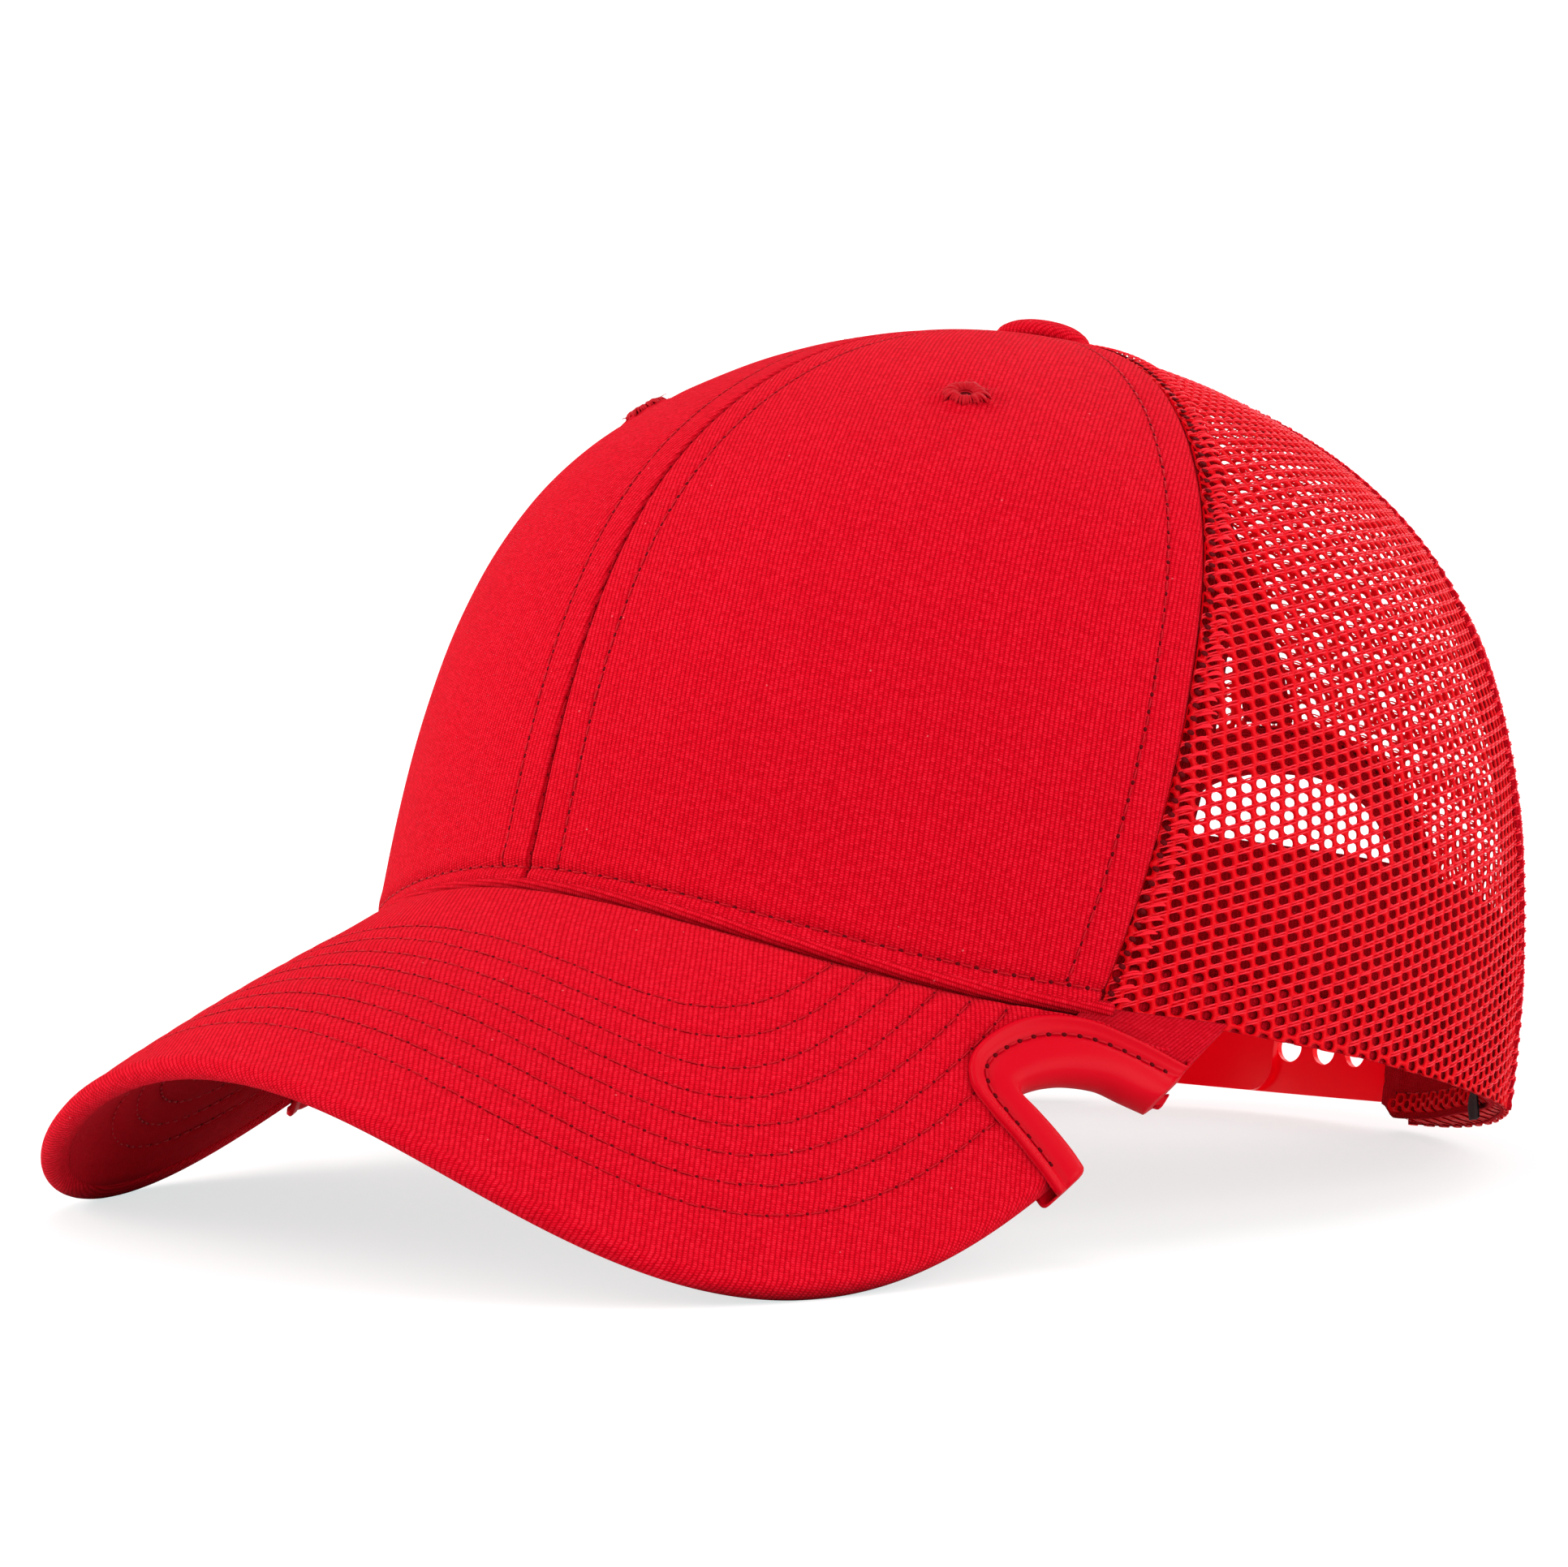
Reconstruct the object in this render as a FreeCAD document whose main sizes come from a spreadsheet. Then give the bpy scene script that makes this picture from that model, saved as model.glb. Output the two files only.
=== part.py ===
import FreeCAD, Part
import math, os
import Sketcher

# Trucker cap: two stiffened twill front panels, four mesh panels, a curved
# visor with a temple notch on each side, and a snap strap across the rear
# opening. Cap frame: base edge near z = 0, visor towards -Y, wearer's left
# +X. The cap frame is then tilted back so the cap rests on both visor sides
# and on the rear hem, with the resting plane at Z = 0.

Vector, Placement, Rotation = FreeCAD.Vector, FreeCAD.Placement, FreeCAD.Rotation
radians = math.radians
os.makedirs("parts", exist_ok=True)
doc = FreeCAD.newDocument("trucker_mesh_cap")

# ---------------------------------------------------------------- sizes
# Alias, value (mm unless noted), note.
SIZES = [
    # crown form
    ("crown_front_length", 101.3, "button axis to front of base"),
    ("crown_rear_length", 100.15, "button axis to rear of base"),
    ("crown_half_width", 88.3, "button axis to side of base"),
    ("crown_height", 119.15, "base to top of profile"),
    ("crown_top_sink", 2.76, "flattening of the top"),
    ("front_profile_p", 3.138, "front profile exponent"),
    ("front_profile_q", 1.522, "front profile exponent"),
    ("rear_profile_p", 2.324, "rear profile exponent"),
    ("rear_profile_q", 2.14, "rear profile exponent"),
    ("side_profile_p", 4.823, "side profile exponent"),
    ("side_profile_q", 1.354, "side profile exponent"),
    ("plan_front_exp", 1.926, "plan superellipse, front"),
    ("plan_rear_exp", 2.119, "plan superellipse, rear"),
    ("base_wave_two", -0.09, "hem rise, 2 per turn"),
    ("base_wave_three", 1.59, "hem rise, 3 per turn"),
    ("base_wave_four", 1.77, "hem rise, 4 per turn"),
    ("front_bulge", -0.0395, "front profile bulge"),
    ("rear_bulge", -0.0121, "rear profile bulge"),
    ("side_bulge", 0.0492, "side profile bulge"),
    ("rest_tilt", 13.61, "degrees the cap leans back at rest"),
    ("rest_lift", 23.41, "base frame height above the resting plane"),
    # seams, degrees round the crown
    ("front_seam_angle", 56.05, "front seam at the hem"),
    ("front_seam_lean", 15.53, "front seam change to the top"),
    ("front_seam_bow", -10.93, "front seam curvature"),
    ("rear_seam_angle", 120.0, "side/rear seam at the hem"),
    ("rear_seam_lean", -14.0, "side/rear seam change to the top"),
    ("seam_gap", 0.3, "gap between neighbouring panels"),
    ("top_hole", 4.0, "radius left open under the button"),
    # cloth
    ("twill_thick", 0.9, "front panels"),
    ("mesh_thick", 1.0, "side and rear panels"),
    ("buckram_thick", 0.6, "stiffener behind the front panels"),
    ("buckram_inset", 3.0, "buckram edge back from the seam"),
    ("layer_gap", 0.1, "twill to buckram"),
    ("tape_width", 12.0, ""),
    ("tape_thick", 0.4, ""),
    ("tape_depth", 1.75, "tape face below the outer surface"),
    ("band_height", 27.6, "sweatband"),
    ("band_thick", 1.0, ""),
    ("band_depth", 2.4, "sweatband face below the outer surface"),
    ("band_depth_rear", 6.8, "the same, over the strap ends"),
    # visor
    ("visor_arch_two", 0.007375, "visor arch, square term"),
    ("visor_arch_four", 0.00000006394, "visor arch, fourth-power term"),
    ("visor_pitch", 37.78, "degrees below the base plane"),
    ("visor_half_width", 80.21, ""),
    ("visor_reach", 66.99, "centre line reach"),
    ("visor_back", 29.69, "outline centre behind the visor origin"),
    ("visor_side_exp", 4.3745, "outline exponent, across"),
    ("visor_nose_exp", 3.7669, "outline exponent, forwards"),
    ("visor_rise", 5.5, "visor origin above the front of the hem"),
    ("visor_end_angle", 62.0, "degrees round the crown"),
    ("visor_end_reach", -38.0, "where the outline stops"),
    ("board_thick", 2.0, "visor board"),
    ("cover_thick", 0.6, "visor covers"),
    ("visor_root_gap", 1.6, "visor start outside the hem"),
    ("notch_size", 1.0, "scale of the temple notch"),
    ("trim_thick", 0.6, "notch trim wall"),
    # rear opening and strap
    ("arch_half_width", 34.0, ""),
    ("arch_height", 62.0, ""),
    ("arch_exp", 2.8, "arch superellipse exponent"),
    ("binding_width", 7.0, ""),
    ("binding_thick", 0.5, ""),
    ("strap_low", -3.2, "strap lower edge at the arc centre, above the base"),
    ("strap_height", 17.0, ""),
    ("strap_thick", 1.2, ""),
    ("strap_radius", 75.55, "outer face of the hole strap"),
    ("strap_axis_back", 22.0, "strap arc centre behind the button axis"),
    ("strap_lean", 5.0, "degrees the strap leans in with the crown"),
    ("strap_first_hole", -15.7, "degrees, wearer's left is negative"),
    ("hole_count", 6, ""),
    ("peg_count", 3, ""),
    ("strap_gap", 0.25, "between the two straps"),
    ("strap_pitch", 6.25, "degrees between holes"),
    ("strap_hole_radius", 2.7, ""),
    ("peg_radius", 2.0, ""),
    ("peg_height", 1.9, ""),
    ("strap_hinge_angle", 23.0, "degrees from the rear centre line"),
    ("strap_hinge_gap", 0.35, "strap end to the flex line"),
    ("tab_gap", 1.0, "flex line to the sewn end"),
    ("tab_span", 9.5, "degrees of sewn end"),
    ("strap_tip_radius", 5.0, "rounded tip"),
    ("hole_strap_tip", 19.6, "degrees past the centre line"),
    ("peg_strap_tip", 1.2, "degrees past the centre line"),
    # size tag
    ("tag_angle", 126.0, "degrees round the crown"),
    ("tag_thick", 0.5, ""),
    ("tag_depth", 7.0, "along the band"),
    ("tag_height", 12.0, ""),
    # top and eyelets
    ("button_radius", 8.3, ""),
    ("button_height", 4.3, ""),
    ("rivet_radius", 1.6, ""),
    ("rivet_flange_radius", 6.0, ""),
    ("rivet_flange_thick", 0.8, ""),
    ("rivet_depth", 2.4, "top of the flange below the pole"),
    ("eyelet_angle", 31.8, "degrees round the crown"),
    ("eyelet_level", 0.762, "fraction of the crown height"),
    ("eyelet_bore", 1.3, "radius"),
    ("eyelet_body", 2.9, "radius"),
    ("eyelet_rim", 3.7, "radius"),
    ("eyelet_clear", 0.15, "cloth hole beyond the eyelet body"),
]
sheet = doc.addObject("Spreadsheet::Sheet", "Sizes")
for row, (alias, value, note) in enumerate(SIZES, 1):
    sheet.set("A%d" % row, alias)
    # Tiny values are written without an exponent.
    sheet.set("B%d" % row, repr(value) if abs(value) > 1e-4 else "%.12f" % value)
    sheet.set("C%d" % row, note)
    sheet.setAlias("B%d" % row, alias)
doc.recompute()

size = {alias: float(sheet.get(alias)) for alias, value, note in SIZES}
sheet_cells = {alias: "Sizes." + alias for alias in size}


# ---------------------------------------------------------------- small maths
def clamp(value, low, high):
    return min(max(value, low), high)


def signed_power(value, exponent):
    return math.copysign(abs(value) ** exponent, value) if value else 0.0


def smooth_step(start, end, value):
    part = clamp((value - start) / (end - start), 0.0, 1.0)
    return part * part * (3 - 2 * part)


def bisect(is_below, low, high):
    """Value where is_below changes from true to false."""
    for step in range(40):
        middle = (low + high) / 2
        if is_below(middle):
            low = middle
        else:
            high = middle
    return low


def interpolate(value, xs, ys):
    """Straight-line look-up, held at both ends of the table."""
    if value <= xs[0]:
        return ys[0]
    low, high = 0, len(xs) - 1
    if value >= xs[high]:
        return ys[high]
    while high - low > 1:
        middle = (low + high) // 2
        if xs[middle] <= value:
            low = middle
        else:
            high = middle
    part = (value - xs[low]) / (xs[high] - xs[low])
    return ys[low] + (ys[high] - ys[low]) * part


def unit(vector):
    vector.normalize()
    return vector


def square_to(normal, vector):
    """Unit vector along the part of vector at right angles to normal."""
    return unit(vector - normal * vector.dot(normal))


# ---------------------------------------------------------------- crown form
PROFILE_FLOOR = -14.0       # z where the side profiles start, below the hem
PLAN_BLEND = 2.2            # how fast the plan changes from front to rear exponent
TOP_SINK_POWER = 7
RISE_POWER = 1.9            # crowds panel points towards the top

CAP_FRAME = Placement(Vector(0, 0, size["rest_lift"]),
                      Rotation(Vector(1, 0, 0), -size["rest_tilt"]))


def crown(angle, rise):
    """Outer crown surface, cap frame.

    angle in degrees, 0 at the visor; rise 0 at the hem, 1 at the top.
    """
    turn = radians(angle)
    top = size["crown_height"]
    hem = (size["base_wave_two"] * math.cos(2 * turn)
           + size["base_wave_three"] * math.cos(3 * turn)
           + size["base_wave_four"] * math.cos(4 * turn))
    height = hem + (top - hem) * rise
    part = clamp((height - PROFILE_FLOOR) / (top - PROFILE_FLOOR), 0.0, 1.0)
    base_part = -PROFILE_FLOOR / (top - PROFILE_FLOOR)
    bump = 8 * part * (1 - part) * (0.5 - part)

    def profile(base_size, side):
        p, q = size[side + "_profile_p"], size[side + "_profile_q"]
        taper = (1 - part ** p) ** (1 / q) / (1 - base_part ** p) ** (1 / q)
        return base_size * taper * (1 + size[side + "_bulge"] * bump)

    cosine, sine = math.cos(turn), math.sin(turn)
    if cosine > 0:
        length = profile(size["crown_front_length"], "front")
    else:
        length = profile(size["crown_rear_length"], "rear")
    width = profile(size["crown_half_width"], "side")
    rearness = 0.5 - 0.5 * math.sin(clamp(cosine * PLAN_BLEND, -1, 1) * math.pi / 2)
    power = 2 / (size["plan_front_exp"]
                 + (size["plan_rear_exp"] - size["plan_front_exp"]) * rearness)
    return Vector(width * signed_power(sine, power),
                  -length * signed_power(cosine, power),
                  height - size["crown_top_sink"] * clamp(rise, 0, 1) ** TOP_SINK_POWER)


def world(point):
    """Cap frame to resting position."""
    return CAP_FRAME.multVec(point)


def crown_normal(angle, rise):
    """Outward unit normal of the crown."""
    angle_step, rise_step = 0.15, 2e-4
    low, high = max(rise - rise_step, -0.02), min(rise + rise_step, 0.9999)
    around = crown(angle + angle_step, rise) - crown(angle - angle_step, rise)
    upward = crown(angle, high) - crown(angle, low)
    normal = unit(around.cross(upward))
    inside = Vector(0, 0, 30)
    if normal.dot(crown(angle, rise) - inside) < 0:
        normal = normal * -1
    return normal


def below_crown(angle, rise, depth):
    return crown(angle, rise) - crown_normal(angle, rise) * depth


def mm_per_degree(angle, rise):
    return (crown(angle + 0.3, rise) - crown(angle - 0.3, rise)).Length / 0.6


top_rises = {}


def rise_at_radius(angle, radius):
    """Rise where the crown closes in to this radius, kept per 0.1 degree."""
    key = (round(angle, 1), radius)
    if key not in top_rises:
        def is_wider(rise):
            point = crown(angle, rise)
            return math.hypot(point.x, point.y) > radius
        top_rises[key] = bisect(is_wider, 0.5, 1.0)
    return top_rises[key]


def rise_at(angle, part, top_radius, low=0.0):
    """part runs 0..1 from rise low to the ring of this radius."""
    top = rise_at_radius(angle, top_radius)
    part_low = 1 - (1 - low) ** (1 / RISE_POWER)
    part_top = 1 - (1 - top) ** (1 / RISE_POWER)
    return 1 - (1 - (part_low + (part_top - part_low) * part)) ** RISE_POWER


def rise_at_height(angle, z):
    return bisect(lambda rise: crown(angle, rise).z < z, -0.05, 0.9)


# Seam lines: angle round the crown for a given rise.
def front_seam(rise):
    return (size["front_seam_angle"] + size["front_seam_lean"] * rise
            + size["front_seam_bow"] * rise * rise)


def rear_seam(rise):
    return size["rear_seam_angle"] + size["rear_seam_lean"] * rise


def front_center(rise):
    return 0.0


def rear_center(rise):
    return 180.0


# ---------------------------------------------------------------- thin solids
def skin(grid):
    """Clamped cubic surface over a point grid; it can't overshoot the grid."""
    rows, columns = len(grid), len(grid[0])
    row_degree, column_degree = min(3, rows - 1), min(3, columns - 1)
    row_knots, column_knots = rows - row_degree + 1, columns - column_degree + 1
    surface = Part.BSplineSurface()
    surface.buildFromPolesMultsKnots(
        grid,
        [row_degree + 1] + [1] * (row_knots - 2) + [row_degree + 1],
        [column_degree + 1] + [1] * (column_knots - 2) + [column_degree + 1],
        [float(k) for k in range(row_knots)],
        [float(k) for k in range(column_knots)],
        False, False, row_degree, column_degree)
    return surface


def thin_solid(outer, inner):
    """Closed solid between two point grids of equal size."""
    faces = [skin(outer).toShape(), skin(inner).toShape()]
    for edge_pair in ((outer[0], inner[0]), (outer[-1], inner[-1]),
                      ([row[0] for row in outer], [row[0] for row in inner]),
                      ([row[-1] for row in outer], [row[-1] for row in inner])):
        faces.append(skin(list(edge_pair)).toShape())
    shell = Part.makeShell(faces)
    shell.sewShape()
    # Sewing may wrap the shell in a compound.
    if shell.ShapeType != "Shell":
        shell = shell.Shells[0]
    solid = Part.makeSolid(shell)
    if solid.Volume < 0:
        solid.reverse()
    return solid


def cloth(grid, thick):
    """Layer following the crown; grid holds (angle, rise, depth of outer face)."""
    outer = [[world(below_crown(angle, rise, depth)) for angle, rise, depth in row]
             for row in grid]
    inner = [[world(below_crown(angle, rise, depth + thick)) for angle, rise, depth in row]
             for row in grid]
    return thin_solid(outer, inner)


pieces = []


def add_piece(type_name, name):
    piece = doc.addObject(type_name, name)
    piece.Label = name
    pieces.append(piece)
    return piece


def add_shape(name, shape):
    add_piece("Part::Feature", name).Shape = shape


def add_pair(name, shape):
    """Wearer's left is +X; the right-hand piece mirrors it."""
    add_shape(name + "_left", shape)
    add_shape(name + "_right", shape.mirror(Vector(0, 0, 0), Vector(1, 0, 0)))


# ---------------------------------------------------------------- crown cloth
def panel(start_seam, end_seam, gap, depth, thick, top_radius, low=0.0):
    """Crown patch between two seams, held back by gap from both."""
    columns, levels = 15, 23
    grid = []
    for i in range(columns):
        share = i / (columns - 1)
        row = []
        for j in range(levels):
            angle = start_seam(0) + (end_seam(0) - start_seam(0)) * share
            # Rise depends on angle and angle on rise, so settle both.
            for step in range(5):
                rise = rise_at(angle, j / (levels - 1), top_radius, low)
                scale = mm_per_degree(angle, rise)
                start = start_seam(rise) + gap / scale
                end = end_seam(rise) - gap / scale
                angle = start + (end - start) * share
            row.append((angle, rise, depth))
        grid.append(row)
    return cloth(grid, thick)


def mesh_panel(start_seam, end_seam):
    return panel(start_seam, end_seam, size["seam_gap"] / 2, 0.0,
                 size["mesh_thick"], size["top_hole"])


def arch_point(angle):
    """(x, z) on the rear arch: 0 at the wearer's left foot, 180 at the right."""
    power = 2 / size["arch_exp"]
    x = size["arch_half_width"] * signed_power(math.cos(radians(angle)), power)
    z = size["arch_height"] * abs(math.sin(radians(angle))) ** power
    return x, z


def arch_cutter():
    """Prism through the rear of the crown, shaped like the rear opening."""
    y_near, y_far, z_bottom = 40.0, 150.0, -12.0
    points = []
    for k in range(37):
        x, z = arch_point(k * 5.0)
        points.append(Vector(x, y_near, z))
    curve = Part.BSplineCurve()
    curve.interpolate(points)
    left, right = points[0], points[-1]
    legs = Part.makePolygon([right, Vector(right.x, y_near, z_bottom),
                             Vector(left.x, y_near, z_bottom), left])
    wire = Part.Wire([curve.toShape()] + legs.Edges)
    solid = Part.Face(wire).extrude(Vector(0, y_far - y_near, 0))
    solid.Placement = CAP_FRAME.multiply(solid.Placement)
    return solid


def eyelet_frame(sign):
    """Frame on the front panel, z outwards; sign is 1 on the left, -1 on the right."""
    angle, rise = sign * size["eyelet_angle"], size["eyelet_level"]
    axis = CAP_FRAME.Rotation.multVec(crown_normal(angle, rise))
    return Placement(world(crown(angle, rise)), Rotation(Vector(0, 0, 1), axis))


def punch_left_eyelet(shape):
    cutter = Part.makeCylinder(size["eyelet_body"] + size["eyelet_clear"], 12.0,
                               Vector(0, 0, -6), Vector(0, 0, 1))
    cutter.Placement = eyelet_frame(1)
    return shape.cut(cutter)


BUCKRAM_TOP_RADIUS = 12.0
BUCKRAM_LOW = 0.012         # rise of the buckram's lower edge

front_panel = panel(front_center, front_seam, size["seam_gap"] / 2, 0.0,
                    size["twill_thick"], size["top_hole"])
buckram = panel(front_center, front_seam, size["buckram_inset"],
                size["twill_thick"] + size["layer_gap"], size["buckram_thick"],
                BUCKRAM_TOP_RADIUS, low=BUCKRAM_LOW)
side_panel = mesh_panel(front_seam, rear_seam)
rear_panel = mesh_panel(rear_seam, rear_center).cut(arch_cutter())

add_pair("front_panel", punch_left_eyelet(front_panel))
add_pair("front_buckram", punch_left_eyelet(buckram))
add_pair("side_mesh", side_panel)
add_pair("rear_mesh", rear_panel)

# ---------------------------------------------------------------- seam tapes
TAPE_TOP_RADIUS = 16.0
TAPE_LOW = 0.01             # rise of the lower ends
TAPE_ARCH_GAP = 1.2         # rear tape above the arch binding


def tape(seam, low=TAPE_LOW):
    columns, levels = 5, 17
    width = size["tape_width"]
    grid = []
    for i in range(columns):
        offset = -width / 2 + width * i / (columns - 1)
        row = []
        for j in range(levels):
            rise = rise_at(seam(0.5), j / (levels - 1), TAPE_TOP_RADIUS, low)
            angle = seam(rise) + offset / mm_per_degree(seam(rise), rise)
            row.append((angle, rise, size["tape_depth"]))
        grid.append(row)
    return cloth(grid, size["tape_thick"])


add_shape("front_center_tape", tape(front_center))
add_pair("side_seam_tape", tape(front_seam))
add_pair("rear_seam_tape", tape(rear_seam))
rear_tape_z = size["arch_height"] + size["binding_width"] + TAPE_ARCH_GAP
add_shape("rear_center_tape", tape(rear_center, rise_at_height(180.0, rear_tape_z)))

# ---------------------------------------------------------------- sweatband
BAND_LIFT = 1.0             # lower edge above the hem
BAND_ARCH_GAP = 1.0         # band ends outside the feet of the arch
BAND_DEEPENS = (118, 142)   # degrees over which it moves in behind the strap ends


def band_depth(angle):
    deeper = size["band_depth_rear"] - size["band_depth"]
    return size["band_depth"] + deeper * smooth_step(*BAND_DEEPENS, abs(angle))


def sweatband():
    """Band round the inside of the hem, open at the rear arch."""
    columns, levels = 61, 6
    end_x = size["arch_half_width"] + BAND_ARCH_GAP
    end_angle = bisect(lambda angle: crown(angle, 0.08).x > end_x, 110.0, 180.0)
    grid = []
    for i in range(columns):
        angle = -end_angle + 2 * end_angle * i / (columns - 1)
        low = BAND_LIFT + crown(angle, 0).z
        grid.append([(angle,
                      rise_at_height(angle, low + size["band_height"] * j / (levels - 1)),
                      band_depth(angle)) for j in range(levels)])
    return cloth(grid, size["band_thick"])


add_shape("sweatband", sweatband())

# ---------------------------------------------------------------- rear binding
BINDING_CLEAR = 0.28        # binding to mesh, each side


def on_rear(x, z, depth):
    """Point below the rear of the crown with this x and height."""
    angle = 180.0
    for step in range(12):
        rise = rise_at_height(angle, z)
        angle += (crown(angle, rise).x - x) / mm_per_degree(angle, rise)
    return below_crown(angle, rise, depth)


def fold_section(radius):
    """(distance from the mesh edge, depth) over the fold: outside, round, inside."""
    middle = size["mesh_thick"] / 2
    flap = [size["binding_width"] * k / 5 for k in (1, 2, 3, 4, 5)]
    outside = [(away, middle - radius) for away in flap[::-1]]
    fold = [(-radius * math.sin(radians(turn)), middle - radius * math.cos(radians(turn)))
            for turn in (0, 45, 90, 135, 180)]
    inside = [(away, middle + radius) for away in flap]
    return outside + fold + inside


def rear_binding():
    """Folded strip round the arch, hugging the mesh edge."""
    inner_radius = size["mesh_thick"] / 2 + BINDING_CLEAR
    outer_radius = inner_radius + size["binding_thick"]
    outer, inner = [], []
    for k in range(43):
        angle = 1.1 + 177.8 * k / 42
        x, z = arch_point(angle)
        next_x, next_z = arch_point(angle + 0.4)
        last_x, last_z = arch_point(angle - 0.4)
        run_x, run_z = next_x - last_x, next_z - last_z
        length = math.hypot(run_x, run_z)
        # Direction in x and z away from the opening.
        away_x, away_z = run_z / length, -run_x / length
        if away_x * x + away_z * (z + 5) < 0:
            away_x, away_z = -away_x, -away_z
        for rows, radius in ((outer, outer_radius), (inner, inner_radius)):
            rows.append([world(on_rear(x + away_x * away, z + away_z * away, depth))
                         for away, depth in fold_section(radius)])
    return thin_solid(outer, inner)


add_shape("rear_opening_binding", rear_binding())

# ---------------------------------------------------------------- visor form
# The visor is an arched sheet. "Across" is measured along the arch from the
# centre line, "forward" along the pitched centre line from the origin.
pitch = radians(size["visor_pitch"])
visor_up = Vector(0, -math.sin(pitch), math.cos(pitch))
visor_forward = Vector(0, -math.cos(pitch), -math.sin(pitch))
visor_origin = crown(0, 0) + Vector(0, 0, size["visor_rise"])
arch_two, arch_four = size["visor_arch_two"], size["visor_arch_four"]

# Arc length along the arch against x.
ARC_STEP = 0.05
ARC_LIMIT = 130
arc_xs, arc_lengths = [0.0], [0.0]
while arc_xs[-1] < ARC_LIMIT:
    x = arc_xs[-1] + ARC_STEP
    middle_x = x - ARC_STEP / 2
    slope = 2 * arch_two * middle_x + 4 * arch_four * middle_x ** 3
    arc_lengths.append(arc_lengths[-1] + ARC_STEP * math.sqrt(1 + slope ** 2))
    arc_xs.append(x)


def arch_drop(x):
    return arch_two * x ** 2 + arch_four * x ** 4


def across_at_x(x):
    return math.copysign(interpolate(abs(x), arc_xs, arc_lengths), x)


def x_at_across(across):
    return math.copysign(interpolate(abs(across), arc_lengths, arc_xs), across)


def rim_table():
    """Superellipse rim from the nose to one end: share of length, across, forward."""
    steps = 3000
    last_turn = 90.98
    back = size["visor_back"]
    shares, acrosses, forwards = [], [], []
    total = 0.0
    for k in range(steps + 1):
        turn = radians(last_turn * (1 - (1 - k / steps) ** 2.2))
        x = size["visor_half_width"] * signed_power(math.sin(turn), 2 / size["visor_side_exp"])
        forward = -back + (size["visor_reach"] + back) * signed_power(
            math.cos(turn), 2 / size["visor_nose_exp"])
        if forward < size["visor_end_reach"]:
            break
        across = across_at_x(x)
        if shares:
            total += math.hypot(across - acrosses[-1], forward - forwards[-1])
        shares.append(total)
        acrosses.append(across)
        forwards.append(forward)
    return [share / total for share in shares], acrosses, forwards


rim_shares, rim_acrosses, rim_forwards = rim_table()


def visor_ends(side):
    """Root across, forward and lift, then rim across and forward."""
    rim_across = math.copysign(interpolate(abs(side), rim_shares, rim_acrosses), side)
    rim_forward = interpolate(abs(side), rim_shares, rim_forwards)
    root = crown(size["visor_end_angle"] * side, 0)
    from_origin = root - visor_origin
    lift = from_origin.dot(visor_up) + arch_drop(root.x)
    return across_at_x(root.x), from_origin.dot(visor_forward), lift, rim_across, rim_forward


def visor(side, reach):
    """Visor mid surface, cap frame.

    side runs -1..1 with +1 at the wearer's left end; reach 0 at the hem, 1 at the rim.
    """
    root_across, root_forward, lift, rim_across, rim_forward = visor_ends(side)
    x = x_at_across(root_across + (rim_across - root_across) * reach)
    forward = root_forward + (rim_forward - root_forward) * reach
    return (visor_origin + visor_forward * forward - visor_up * arch_drop(x)
            + Vector(x, 0, 0) + visor_up * (lift * (1 - reach) ** 2))


def visor_length(side):
    root_across, root_forward, lift, rim_across, rim_forward = visor_ends(side)
    return math.hypot(rim_across - root_across, rim_forward - root_forward)


def visor_normal(side, reach):
    """Unit normal on the upper side."""
    step = 0.004
    sideways = visor(min(side + step, 1.0), reach) - visor(max(side - step, -1.0), reach)
    outward = visor(side, reach + step) - visor(side, reach - step)
    normal = unit(sideways.cross(outward))
    if normal.dot(visor_up) < 0:
        normal = normal * -1
    return normal


def visor_frame(side, reach):
    return visor(side, reach), visor_normal(side, reach)


# ---------------------------------------------------------------- temple notch
# Drawn in a plane that lies along the visor's left side.
NOTCH_ORIGIN = Vector(74.12, -64.71, -15.87)
NOTCH_ALONG = Vector(-0.0548, -0.7632, -0.6439)
NOTCH_OUT = Vector(0.6026, 0.4889, -0.6308)
NOTCH_CUT_BACK = 1.35       # visor edge behind the finished opening
NOTCH_STATIONS = 45

# (forwards along the edge, outwards), from the rear corner to the front one.
NOTCH_OPENING = [
    (-15.4, 11.3), (-13.2, 8.0), (-10.3, 3.6), (-6.1, -0.2), (-2.2, -2.5), (1.6, -3.8),
    (4.0, -3.9), (5.0, -2.6), (5.2, 0.8), (5.4, 4.4), (5.8, 8.0), (6.4, 11.3)]
TRIM_OUTLINE = [
    (-23.4, 11.3), (-20.6, 6.6), (-17.0, 1.2), (-12.6, -4.6), (-6.6, -9.0), (-0.4, -10.7),
    (5.6, -10.4), (9.4, -7.4), (10.5, -2.6), (10.8, 2.8), (11.2, 7.2), (11.8, 11.3)]


def notch_coordinates(side, reach):
    offset = visor(side, reach) - NOTCH_ORIGIN
    return offset.dot(NOTCH_ALONG), offset.dot(NOTCH_OUT)


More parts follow.
